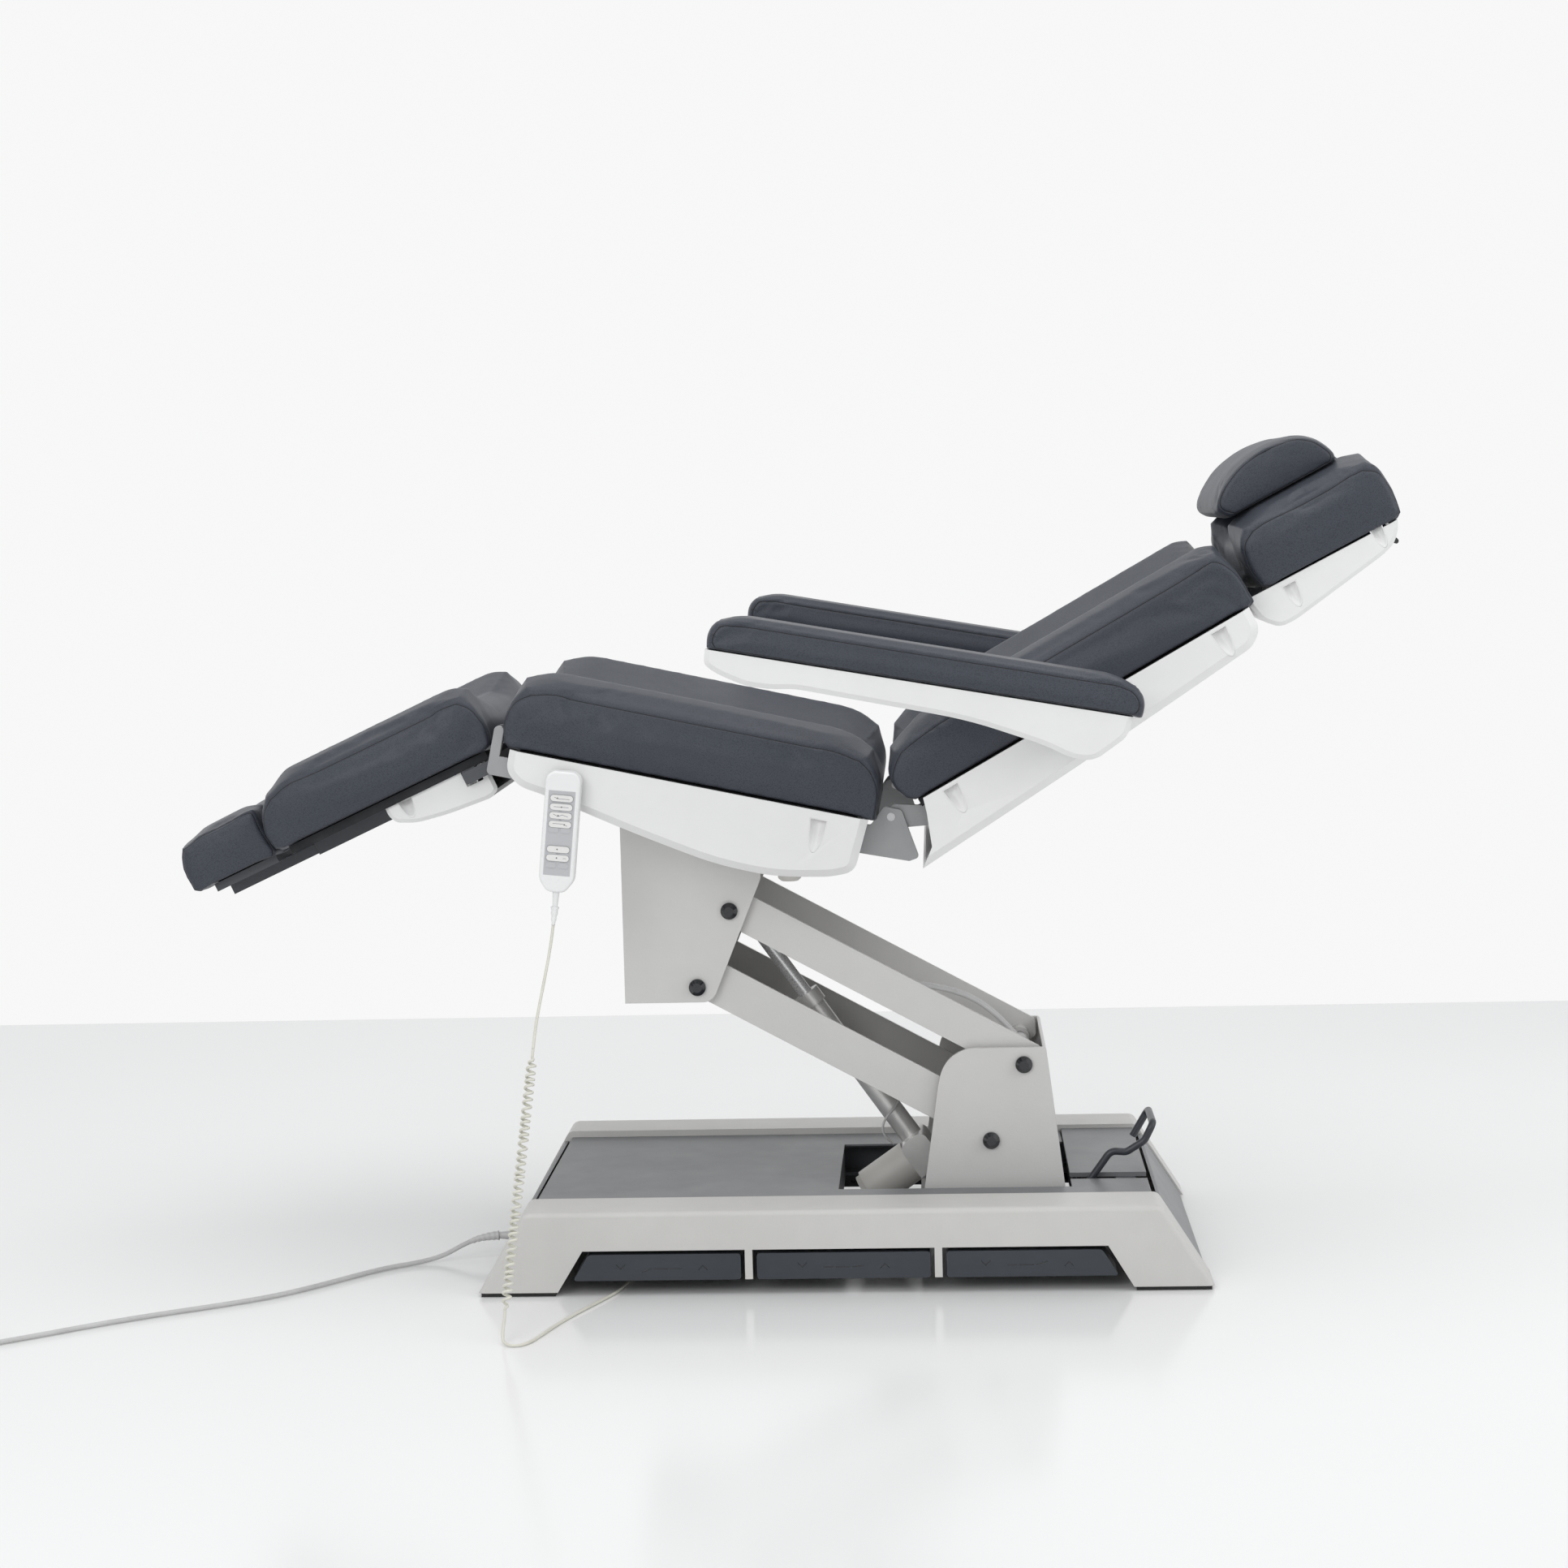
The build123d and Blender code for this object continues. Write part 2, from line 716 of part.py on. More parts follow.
def cord_glands():
    """The mains lead's gland on the front end panel and the handset lead's gland under the near rail."""
    exit_place = Vector(*mains_route[0])
    low = exit_place.Z - gland_radius * 2
    high = exit_place.Z + gland_radius * 2
    long = panel_face(high) - exit_place.X
    behind = slab(
        sharp([(panel_face(low), low), (panel_face(high), high), (panel_face(high) + long, high),
               (panel_face(high) + long, low)]),
        exit_place.Y - gland_radius * 2, exit_place.Y + gland_radius * 2,
    )
    front = Pos(exit_place.X + long / 2, exit_place.Y, exit_place.Z) * Rot(0, quarter, 0) * Cone(
        mains_radius + relief_wall / 2, gland_radius, long)
    foot = Vector(*lead_lower_route[-1])
    rear = Pos(foot.X, foot.Y, (foot.Z + rail_bottom()) / 2) * Cone(
        lead_radius + relief_wall / 2, gland_radius, rail_bottom() - foot.Z)
    return [front - behind, rear]


# Sills: bent sheet covers along both long sides of the base
def sill():
    slope_front = (base_top_front, base_top)
    slope_rear = (base_top_rear, base_top)
    shell = filleted(
        [(base_floor_front, foot_height), slope_front, slope_rear, (base_floor_rear, foot_height)],
        [0, sill_corner_radius, sill_corner_radius, 0],
    )
    body = slab(shell, -base_half_width, -sill_inner)
    outer_edges = [
        edge for edge in body.edges()
        if abs(edge.position_at(edge_middle_share).Y + base_half_width) < rest_gap
        and edge.position_at(edge_middle_share).Z > foot_height + rest_gap
    ]
    body = fillet(outer_edges, sill_edge_radius)
    hollow = slab(offset(shell, amount=-sheet), sheet - base_half_width, overrun - sill_inner)
    lip = slab(shell, -sill_inner - sheet, -sill_inner) & brick(
        base_floor_front, base_floor_rear, -base_half_width, -sill_inner, deck_top() - lip_depth, base_top)
    body = (body - hollow) + lip
    arch = sharp([
        (arch_front, foot_height - overrun), (arch_front, foot_height), (arch_top_front, arch_top),
        (arch_top_rear, arch_top), (arch_rear, foot_height), (arch_rear, foot_height - overrun),
    ])
    cutter = slab(arch, -base_half_width - overrun, overrun - sill_inner)
    for place in tab_places():
        cutter = cutter - brick(place - tab_width / 2, place + tab_width / 2, -base_half_width - overrun,
                                sheet - base_half_width, tab_bottom, arch_top + overrun)
    return body - cutter


def tab_places():
    """Where the two tabs hang between the three pedals of a side."""
    span = arch_top_rear - arch_top_front
    return [arch_top_front + span * share for share in tab_place_shares]


def pedal_limits():
    """The front and rear of each of the three pedals at the height of their tops."""
    tabs = tab_places()
    fronts = [arch_top_front] + [place + tab_width / 2 + pedal_gap for place in tabs]
    rears = [place - tab_width / 2 - pedal_gap for place in tabs] + [arch_top_rear]
    return list(zip(fronts, rears))


def arch_lean(rise):
    """How far the arch's sloped ends stand out from its top at a height."""
    return (arch_top - rise) * (arch_top_front - arch_front) / (arch_top - foot_height)


def pedal(number):
    front, rear = pedal_limits()[number]
    lean_front = arch_lean(pedal_bottom) if number == 0 else 0
    lean_rear = arch_lean(pedal_bottom) if number == len(pedal_limits()) - 1 else 0
    inset_front = pedal_gap * 2 if number == 0 else 0
    inset_rear = pedal_gap * 2 if lean_rear else 0
    top_front = front - (arch_lean(pedal_top) if lean_front else 0) + inset_front
    top_rear = rear + (arch_lean(pedal_top) if lean_rear else 0) - inset_rear
    face = outline(
        [(front - lean_front + inset_front, pedal_bottom), (top_front, pedal_top),
         (top_rear, pedal_top), (rear + lean_rear - inset_rear, pedal_bottom)],
        pedal_corner_share,
    )
    outer = pedal_set_back - base_half_width
    body = slab(face, outer, outer + pedal_depth)
    hollow = slab(offset(face, amount=-pedal_wall), outer + pedal_wall, outer + pedal_depth + overrun)
    body = body - hollow
    middle = (front + rear) / 2
    boss = crossbar((middle, pedal_pin_height), pedal_pin_radius * 2, outer + pedal_wall, outer + pedal_depth)
    bore = crossbar((middle, pedal_pin_height), pedal_pin_radius + running_fit,
                    outer + pedal_wall, outer + pedal_depth + overrun)
    web = brick(middle - pedal_wall / 2, middle + pedal_wall / 2, outer + pedal_wall - rest_gap,
                outer + pedal_depth, pedal_bottom + pedal_wall - rest_gap, pedal_top - pedal_wall + rest_gap)
    body = (body + boss + web) - bore
    for way in (-1, 1):
        body = body - chevron(middle + way * chevron_reach, outer, way)
    return body


def chevron(place, outer, way):
    """A shallow engraved arrowhead: down at the front of the pedal, up at its rear."""
    rise = chevron_width / 2 * way
    height = (pedal_top + pedal_bottom) / 2
    tip = height + rise / 2
    foot = height - rise / 2
    stroke = chevron_stroke * way
    points = [
        (place - chevron_width / 2, foot), (place, tip), (place + chevron_width / 2, foot),
        (place + chevron_width / 2, foot - stroke), (place, tip - stroke), (place - chevron_width / 2,
                                                                            foot - stroke),
    ]
    return slab(sharp(points), outer - overrun, outer + chevron_depth)


def pedal_switches():
    """The switch blocks on the rail that carry the pedals, with their pins."""
    blocks, pins = [], []
    inner = rail_inner + rail_width
    outer = base_half_width - pedal_set_back - pedal_depth - rest_gap
    for front, rear in pedal_limits():
        middle = (front + rear) / 2
        block = brick(middle - switch_length / 2, middle + switch_length / 2, -outer, -inner,
                      rail_bottom() - switch_drop, rail_bottom() + switch_rise)
        seat = crossbar((middle, pedal_pin_height), pedal_pin_radius, -outer - overrun, -inner)
        blocks.append(block - seat)
        pins.append(crossbar((middle, pedal_pin_height), pedal_pin_radius,
                             pedal_wall + pedal_set_back - base_half_width + rest_gap, -inner - pedal_wall))
    return blocks, pins


def deck_top():
    return base_top - deck_drop


def rail_top():
    return deck_top() - deck_sheet


def rail_bottom():
    return rail_top() - rail_height


# Chassis rails: two channels lying inside the sills, open to the middle
def chassis_rail():
    body = brick(rail_front, rail_rear, -rail_inner - rail_width, -rail_inner, rail_bottom(), rail_top())
    hollow = brick(rail_front - overrun, rail_rear + overrun, sheet - rail_inner - rail_width,
                   overrun - rail_inner, rail_bottom() + sheet, rail_top() - sheet)
    return body - hollow


def cross_members():
    """Bars between the rails, and the low plate that the lift's bracket stands on."""
    bars = []
    for front in (rail_front, opening_front - cross_width):
        bars.append(brick(front, front + cross_width, -rail_inner, rail_inner, rail_bottom(), rail_top()))
    over_castors = castor_axle()[1] + castor_radius + pedal_gap / 2
    bars.append(brick(rail_rear - cross_width, rail_rear, -rail_inner, rail_inner, over_castors, rail_top()))
    bars.append(brick(bracket_outline_foot[0], bracket_outline_foot[1], -rail_inner - rail_width,
                      rail_inner + rail_width, rail_bottom() - mount_plate, rail_bottom()))
    return bars


def deck():
    """The sheet over the base, cut out round the lift and along the lever's slot."""
    side = sill_inner - deck_side_gap
    end = base_top_rear - sheet - deck_side_gap
    front = base_top_front + sheet + deck_side_gap
    body = brick(front, end, -side, side, rail_top(), deck_top())
    opening = brick(opening_front, panel_front, -opening_half_width, opening_half_width,
                    rail_top() - overrun, deck_top() + overrun)
    rear = brick(panel_front - overrun, end + overrun, -slot_edge, side + overrun,
                 rail_top() - overrun, deck_top() + overrun)
    return body - opening - rear


def rear_panel():
    """The raised panel behind the lift, a folded sheet that leaves the lever its slot."""
    end = base_top_rear - sheet - deck_side_gap
    top = deck_top() + panel_rise
    body = brick(panel_front, end, -panel_edge, sill_inner - deck_side_gap, rail_top(), top)
    hollow = brick(panel_front + deck_sheet, end - deck_sheet, deck_sheet - panel_edge,
                   sill_inner - deck_side_gap - deck_sheet, rail_top() - overrun, top - deck_sheet)
    return body - hollow


def end_panel(floor_place, top_place, inward):
    """A sloped sheet between the sills at one end of the base."""
    lean = (top_place - floor_place) / (base_top - foot_height)
    low = foot_height * 2
    high = rail_top() - end_panel_gap
    foot = floor_place + lean * (low - foot_height) + inward * end_panel_gap
    head = floor_place + lean * (high - foot_height) + inward * end_panel_gap
    face = sharp([(foot, low), (head, high), (head + inward * sheet, high), (foot + inward * sheet, low)])
    return slab(face, rest_gap - sill_inner, sill_inner - rest_gap)


def foot_pads():
    """Rubber pads under the ends of both sills."""
    pads = []
    for front, rear in ((base_floor_front, arch_front), (arch_rear, base_floor_rear)):
        pads += both_sides(brick(front + foot_inset, rear - foot_inset, foot_inset - base_half_width,
                                 -foot_inner,
                                 0, foot_height))
    return pads


# Base bracket: two plates and a rear web that carry the lower ends of both arms
def bracket_side():
    low = rail_bottom()
    return filleted(
        [(bracket_outline_foot[0], low), bracket_shoulder, (bracket_top_front, bracket_top[1]), bracket_top,
         (bracket_outline_foot[1], low)],
        [0, bracket_shoulder_radius, bracket_corner, bracket_rear_corner, 0],
    )


def base_bracket():
    outer = slab(bracket_side(), -bracket_half_width, bracket_half_width)
    inner_side = bracket_half_width - bracket_plate
    hollow = slab(offset(bracket_side(), amount=-bracket_plate), -inner_side, inner_side)
    lifted = joined([Pos(-shift, 0, rise) * hollow for shift, rise in (
        (0, 0), (bracket_plate + overrun, 0), (0, bracket_plate + overrun),
        (bracket_plate + overrun, bracket_plate + overrun))])
    sides = brick(bracket_outline_foot[0] - overrun, bracket_top[0] - bracket_plate * 2, -inner_side,
                  inner_side,
                  rail_bottom() + bracket_plate, bracket_top[1] + overrun)
    body = outer - lifted - sides
    for pin in (base_pin_upper, base_pin_lower):
        body = body - crossbar(pin, pin_radius + running_fit, -bracket_half_width - overrun,
                               bracket_half_width + overrun)
    return body


def head_pins():
    """Where the arms meet the head bracket, from the arms' length and rise."""
    reach = arm_length * cos(radians(arm_rise))
    rise = arm_length * sin(radians(arm_rise))
    return [(pin[0] - reach, pin[1] + rise) for pin in (base_pin_upper, base_pin_lower)]


def pins(places, half_width):
    return [crossbar(place, pin_radius, -half_width, half_width) for place in places]


def pin_caps(places, half_width):
    caps = []
    for place in places:
        caps += both_sides(cap(place, -half_width, cap_radius, cap_height))
    return caps


def arm(head_pin, base_pin, below, above, slots):
    """A lift arm: a channel open upwards, with a bush at each end and its slots for the actuator.

    It is drawn level with its head pin at the origin, then laid along its two pins.
    """
    half = arm_half_width
    nose = arm_end
    side = filleted(
        [(-nose, -below), (arm_length + nose * nose_share, -below), (arm_length + nose, above - below),
         (arm_length + nose * nose_share, above), (-nose * nose_share, above), (-nose, above - below)],
        [nose / 3] * 6,
    )
    body = slab(side, -half, half)
    hollow = slab(offset(side, amount=-sheet), sheet - half, half - sheet)
    hollow = joined([hollow, Pos(0, 0, sheet + overrun) * hollow])
    ends = brick(-nose - overrun, arm_length + nose + overrun, sheet - half, half - sheet,
                 sheet - below, above + overrun)
    body = body - hollow - ends
    for front, rear, half_slot in slots:
        body = body - brick(front, rear, -half_slot, half_slot, -below - overrun, sheet - below + overrun)
    for place in (0, arm_length):
        for side_share in (-1, 1):
            near = side_share * (half - sheet + rest_gap)
            far = side_share * (half - bush_length)
            bush = crossbar((place, 0), bush_radius, min(near, far), max(near, far))
            body = body + bush
        body = body - crossbar((place, 0), pin_radius + running_fit, -half - overrun, half + overrun)
    angle = degrees(atan2(head_pin[1] - base_pin[1], base_pin[0] - head_pin[0]))
    return Pos(head_pin[0], 0, head_pin[1]) * Rot(0, angle, 0) * body


def upper_arm():
    head_pin = head_pins()[0]
    notch = (-arm_end - overrun, actuator_notch, slot_half_width)
    return arm(head_pin, base_pin_upper, upper_arm_below, upper_arm_above, [notch])


def lower_arm():
    head_pin = head_pins()[1]
    slot = (slot_start, slot_end, slot_half_width)
    return arm(head_pin, base_pin_lower, lower_arm_below, lower_arm_above, [slot])


# Head bracket: two plates and a front web that hang under the seat
def head_bracket():
    side = filleted(
        [(head_plate_front, head_plate_bottom), (head_plate_front, head_plate_top),
         (head_top_rear, head_plate_top),
         head_plate_rear, (head_plate_foot + head_plate_foot_rise, head_plate_bottom)],
        [0, head_corner, head_corner, head_corner, head_corner],
    )
    outer = slab(side, -bracket_half_width, bracket_half_width)
    inner = bracket_half_width - bracket_plate
    hollow = brick(head_plate_front + bracket_plate, head_plate_rear[0] + arm_length, -inner, inner,
                   head_plate_bottom - overrun, head_plate_top + overrun)
    body = outer - hollow
    for pin in head_pins():
        body = body - crossbar(pin, pin_radius + running_fit, -bracket_half_width - overrun,
                               bracket_half_width + overrun)
    body = body - crossbar(tilt_pivot, tilt_pin_radius + running_fit, -bracket_half_width - overrun,
                           bracket_half_width + overrun)
    return body


def tilt_pin():
    return crossbar(tilt_pivot, tilt_pin_radius, -seat_rail_inner - seat_rail_size / 2,
                    seat_rail_inner + seat_rail_size / 2)


def actuator_frame():
    """The lift actuator's frame: its origin at its foot and its X along its rod."""
    along, rise = (head_pins()[0][0] - actuator_foot[0], head_pins()[0][1] - actuator_foot[1])
    return frame_at(actuator_foot, -degrees(atan2(rise, along))), hypot(along, rise)


def along_x(radius, front, rear, offset_z=0):
    """A round bar along X."""
    return Pos((front + rear) / 2, 0, offset_z) * Rot(0, 90, 0) * Cylinder(radius, rear - front)


def lift_tube():
    """The actuator's gearbox, tube and collar, bored for its rod."""
    end = actuator_frame()[1] * tube_share
    deep = tube_radius + sheet
    gearbox = outline([(-eye_radius, -eye_radius), (gearbox_length, -deep), (gearbox_length, deep),
                       (-eye_radius, deep)],
                      gearbox_corner_share)
    body = slab(gearbox, -gearbox_half_width, gearbox_half_width)
    body = body + along_x(tube_radius, gearbox_length - sheet, end)
    body = body + along_x(collar_radius, end - collar_length, end)
    body = body - along_x(rod_radius + running_fit, gearbox_length + sheet, end + overrun)
    for side in both_sides(brick(-eye_radius - overrun, eye_radius, -gearbox_half_width - overrun,
                                 -eye_half_width,
                                 -deep - overrun, deep + overrun)):
        body = body - side
    return body


def lift_motor():
    """The motor across the foot of the tube, a stepped can."""
    start = tube_radius + sheet
    can = Pos(motor_place, 0, start + motor_length / 2) * Cylinder(motor_radius, motor_length)
    end = Pos(motor_place, 0, start + motor_length + motor_step) * Cylinder(motor_radius - motor_step,
                                                                            motor_step * 2)
    return can + end


def lift_rod():
    """The actuator's rod and the eye on the arm's upper pin."""
    length = actuator_frame()[1]
    start = length * tube_share * rod_start_share
    body = along_x(rod_radius, start, length - eye_radius / 2)
    eye = crossbar((length, 0), eye_radius, -eye_half_width, eye_half_width)
    return (body + eye) - crossbar((length, 0), pin_radius + running_fit, -eye_half_width - overrun,
                                   eye_half_width + overrun)


def actuator_clevis():
    """Two cheeks on the mounting plate whose stub pins end beside the actuator's foot, with play."""
    cheeks = []
    inner = gearbox_half_width + sheet
    for side in both_sides(brick(actuator_foot[0] - eye_radius, actuator_foot[0] + eye_radius,
                                 -inner - sheet, -inner,
                                 rail_bottom() + bracket_base_plate, actuator_foot[1] + eye_radius / 2)):
        cheeks.append(side)
    stubs = both_sides(crossbar(actuator_foot, pin_radius / 2, -inner, -eye_half_width - open_pivot_play))
    return [joined([cheek, stub]) for cheek, stub in zip(cheeks, stubs)]


def lever():
    """The foot lever: a bar up through the deck's slot that ends in a loop, on its cross shaft."""
    side = -(slot_edge + panel_edge) / 2
    far = side + lever_loop
    points = [(lever_shaft[0], side, lever_shaft[1])]
    points += [(along, side, rise) for along, rise in lever_bends]
    points += [(lever_bends[-1][0], far, lever_bends[-1][1]), (lever_end[0], far, lever_end[1])]
    bar = tube_run(points, lever_radius, lever_bend_radii)
    shaft = crossbar(lever_shaft, shaft_radius, -rail_inner - rail_width + sheet + rest_gap,
                     rail_inner + rail_width - sheet - rest_gap)
    body = bar + shaft
    axle = castor_axle()
    for crank in both_sides(slab(crank_side(), -castor_side - crank_plate, -castor_side)):
        body = body + crank
    for stub in both_sides(crossbar(axle, castor_axle_radius, -castor_side - crank_plate / 2,
                                    castor_width + running_fit * 2 - castor_side)):
        body = body + stub
    return body


def castor_axle():
    return (lever_shaft[0] + crank_reach, lever_shaft[1] - crank_drop)


def crank_side():
    reach = hypot(crank_reach, crank_drop)
    along = (crank_reach / reach, -crank_drop / reach)
    across = (crank_drop / reach, crank_reach / reach)
    points = []
    for start, way in ((-crank_half_width, -1), (-crank_half_width, 1), (reach + crank_half_width, 1),
                       (reach + crank_half_width, -1)):
        points.append((lever_shaft[0] + along[0] * start + across[0] * crank_half_width * way,
                       lever_shaft[1] + along[1] * start + across[1] * crank_half_width * way))
    return outline(points, corner_share)


def castor_wheel():
    axle = castor_axle()
    near = rest_gap - castor_side
    body = crossbar(axle, castor_radius, near, near + castor_width)
    body = chamfer(body.edges().filter_by(GeomType.CIRCLE), castor_radius / 12)
    return body - crossbar(axle, castor_axle_radius + running_fit, near - overrun,
                           near + castor_width + overrun)


def shaft_blocks():
    near = -rail_inner - rail_width + sheet
    block = brick(lever_shaft[0] - shaft_radius * 2, lever_shaft[0] + shaft_radius * 2, near, -rail_inner,
                  rail_bottom() + sheet, rail_top() - sheet)
    return both_sides(block - crossbar(lever_shaft, shaft_radius + running_fit, near - overrun,
                                       overrun - rail_inner))


# Seat, drawn level from the knee hinge
def seat_cushion():
    return cushion(seat_shares, seat_front, seat_rear - seat_front, seat_bottom, seat_half_width,
                   (seat_seam, seat_crest, seat_valley))


def seat_board():
    half = seat_half_width - board_inset
    return brick(seat_front + board_inset, seat_rear - board_inset, -half, half,
                 seat_bottom - board_thickness, seat_bottom)


def seat_shell():
    points = stretched(seat_shell_shares, seat_shell_front, seat_shell_length, seat_bottom - rest_gap,
                       -seat_shell_depth)
    body = tray(points, seat_shell_corner_shares, seat_shell_half_width, shell_edge_radius, moulding_wall)
    mouth_half = knee_ear_inner + knee_plate + shell_gap
    mouth = brick(seat_shell_front - overrun, shell_mouth_rear, -mouth_half, mouth_half,
                  seat_bottom - seat_shell_depth - overrun, seat_bottom + overrun)
    rear = brick(seat_rear - shell_rear_slot, seat_rear + overrun, -ear_inner - ear_plate - shell_gap,
                 ear_inner + ear_plate + shell_gap, seat_bottom - seat_shell_depth, seat_bottom + overrun)
    return body - mouth - rear


def seat_rails():
    """The seat's two lengthwise rails, each with a lug for the tilt pin."""
    rail = brick(seat_rail_front, seat_rail_rear, -seat_rail_inner - seat_rail_size, -seat_rail_inner,
                 seat_bottom - board_thickness - seat_rail_size, seat_bottom - board_thickness)
    place = tilt_place()
    lug = brick(place[0] - lug_half_width, place[0] + lug_half_width, -seat_rail_inner - seat_rail_size / 2,
                -seat_rail_inner, place[1] - tilt_pin_radius - lug_wall, seat_bottom - board_thickness - overrun)
    rail = (rail + lug) - crossbar(place, tilt_pin_radius + running_fit, -seat_rail_inner - seat_rail_size,
                                   overrun - seat_rail_inner)
    return both_sides(rail)


def tilt_place():
    """The tilt pivot in the seat's own frame."""
    return within(knee, seat_slope, tilt_pivot)


def hip_place():
    """The back's hinge in the seat's own frame."""
    return within(knee, seat_slope, hip)


def seat_crossbars():
    low = seat_bottom - board_thickness - seat_rail_size
    high = seat_bottom - board_thickness
    front = brick(seat_rail_front, seat_rail_front + seat_rail_size, -seat_rail_inner, seat_rail_inner, low,
                  high)
    rear = brick(seat_rail_rear - seat_rail_size, seat_rail_rear, -seat_rail_inner, seat_rail_inner, low, high)
    outriggers = both_sides(brick(seat_rail_rear - seat_rail_size, seat_rail_rear, -ear_inner,
                                  -seat_rail_inner - seat_rail_size, low, high))
    knee_bars = both_sides(brick(seat_rail_front, seat_rail_front + seat_rail_size, -knee_ear_inner,
                                 -seat_rail_inner - seat_rail_size, low, high))
    return [front, rear] + outriggers + knee_bars


def seat_ears():
    """The side plates that carry the back's hinge, one each side of the seat."""
    pivot = hip_place()
    high = seat_bottom - board_thickness
    low = high - seat_rail_size - sheet * 3
    side = filleted(
        [(seat_rail_rear - ear_overlap, high), (seat_rail_rear - ear_overlap, low),
         (pivot[0] + ear_nose, low + sheet),
         (pivot[0] + ear_nose + hinge_boss, low + hinge_boss), (pivot[0] + hinge_boss, pivot[1] + hinge_boss),
         (pivot[0] - hinge_boss, pivot[1] + hinge_boss), (pivot[0] - hinge_boss * 2, high)],
        [0, 0, sheet, sheet, hinge_boss / 2, hinge_boss / 2, sheet],
    )
    ear = slab(side, -ear_inner - ear_plate, -ear_inner)
    ear = ear - crossbar(pivot, hinge_pin_radius + running_fit, -ear_inner - ear_plate - overrun,
                         overrun - ear_inner)
    return both_sides(ear)


def eye_plates(side, inner):
    """Plates with a hole for the knee pin, one each side, cut from a side view."""
    plate = slab(side, -inner - knee_plate, -inner)
    hole = crossbar((0, 0), knee_pin_radius + running_fit, -inner - knee_plate - overrun, overrun - inner)
    return both_sides(plate - hole)


def knee_ears():
    """Plates that reach from below the seat board up to the knee hinge."""
    low = seat_bottom - board_thickness - seat_rail_size
    high = seat_bottom - board_thickness - overrun
    far = seat_rail_front + seat_rail_size
    eye = knee_boss * knee_eye_share
    side = filleted(
        [(-knee_boss, knee_boss), (knee_boss, knee_boss), (knee_boss, high), (far, high), (far, low),
         (-knee_boss, low)],
        [eye, eye, 0, 0, 0, eye],
    )
    return eye_plates(side, knee_ear_inner)


def hinge_pins(place, radius, near, far):
    return both_sides(crossbar(place, radius, -far, -near))


def handset():
    """The handset hanging on the near side of the seat shell: a slim moulded case."""
    case = outline(stretched(handset_shares, -handset_width / 2, handset_width, 0, -handset_length),
                   handset_corner_share)
    body = slab(case, -handset_depth, 0)
    body = fillet(body.edges().filter_by(Axis.Y, reverse=True).group_by(Axis.Y)[0], handset_depth / 6)
    keypad = brick(-handset_width / 2 + keypad_border, handset_width / 2 - keypad_border,
                   -handset_depth - overrun,
                   keypad_recess - handset_depth, -handset_length * keypad_foot_share, -handset_length * keypad_head_share)
    relief = Pos(0, -handset_depth / 2, -handset_length - relief_length / 2) * Cone(
        lead_radius + relief_wall / 2, lead_radius + relief_wall, relief_length)
    return (body - keypad) + relief


def handset_keypad():
    low = -handset_length * keypad_foot_share
    high = -handset_length * keypad_head_share
    pad = brick(-handset_width / 2 + keypad_border, handset_width / 2 - keypad_border, -handset_depth,
                keypad_recess - handset_depth, low, high)
    keys = []
    for share in key_row_shares:
        middle = high + (low - high) * share
        for way in (-1, 1):
            key = Pos(way * key_width / 2 * key_spread_share, -handset_depth, middle) * Rot(90, 0, 0) * extrude(
                SlotOverall(key_width, key_height), amount=key_rise)
            keys.append(key)
    return [pad] + keys


def back_rails():
    pieces = []
    low = back_rail_top - back_rail_height
    rail = brick(back_rail_front, back_length - back_rail_end, -back_rail_inner - back_rail_width,
                 -back_rail_inner,
                 low, back_rail_top)
    plate = filleted(
        [(-hinge_boss, hinge_boss), (hinge_boss, hinge_boss), (back_board_front - overrun, back_rail_top),
         (back_plate_length, back_rail_top), (back_plate_length, low), (back_rail_front, low),
         (-hinge_boss, -hinge_boss)],
        [hinge_boss / 2, hinge_boss / 2, 0, 0, sheet, sheet, hinge_boss / 2],
    )
    outer = -back_rail_inner - back_rail_width
    body = rail + slab(plate, outer - back_plate, outer)
    body = body - crossbar((0, 0), hinge_pin_radius + running_fit, outer - back_plate - overrun,
                           outer + overrun)
    axle = elbow_place()
    body = body - crossbar(axle, elbow_radius, outer - overrun, overrun - back_rail_inner)
    return both_sides(body)


def elbow_place():
    """The armrest's pivot in the back's own frame."""
    return within(hip, back_slope, elbow)


def back_crossbars():
    low = back_rail_top - back_rail_height
    high = head_bar_height - sleeve_radius
    bars = []
    for place in back_cross_places:
        bars.append(brick(place, place + cross_width, -back_rail_inner, back_rail_inner, low, high))
    return bars


def back_sleeves():
    sleeves = []
    front, rear = back_cross_places[-2], back_length - shell_end_gap
    for sleeve in both_sides(Pos(0, -head_bar_side, 0) * (
            along_x(sleeve_radius, front, rear, head_bar_height)
            - along_x(head_bar_radius + running_fit, front - overrun, rear + overrun, head_bar_height))):
        sleeves.append(sleeve)
    return sleeves


def back_board():
    half = back_half_width - board_inset
    return brick(back_board_front, back_length - board_inset, -half, half, back_bottom - board_thickness,
                 back_bottom)


def back_cushion():
    return cushion(back_shares, back_front, back_length - back_front, back_bottom, back_half_width,
                   (back_seam, back_crest, back_valley))


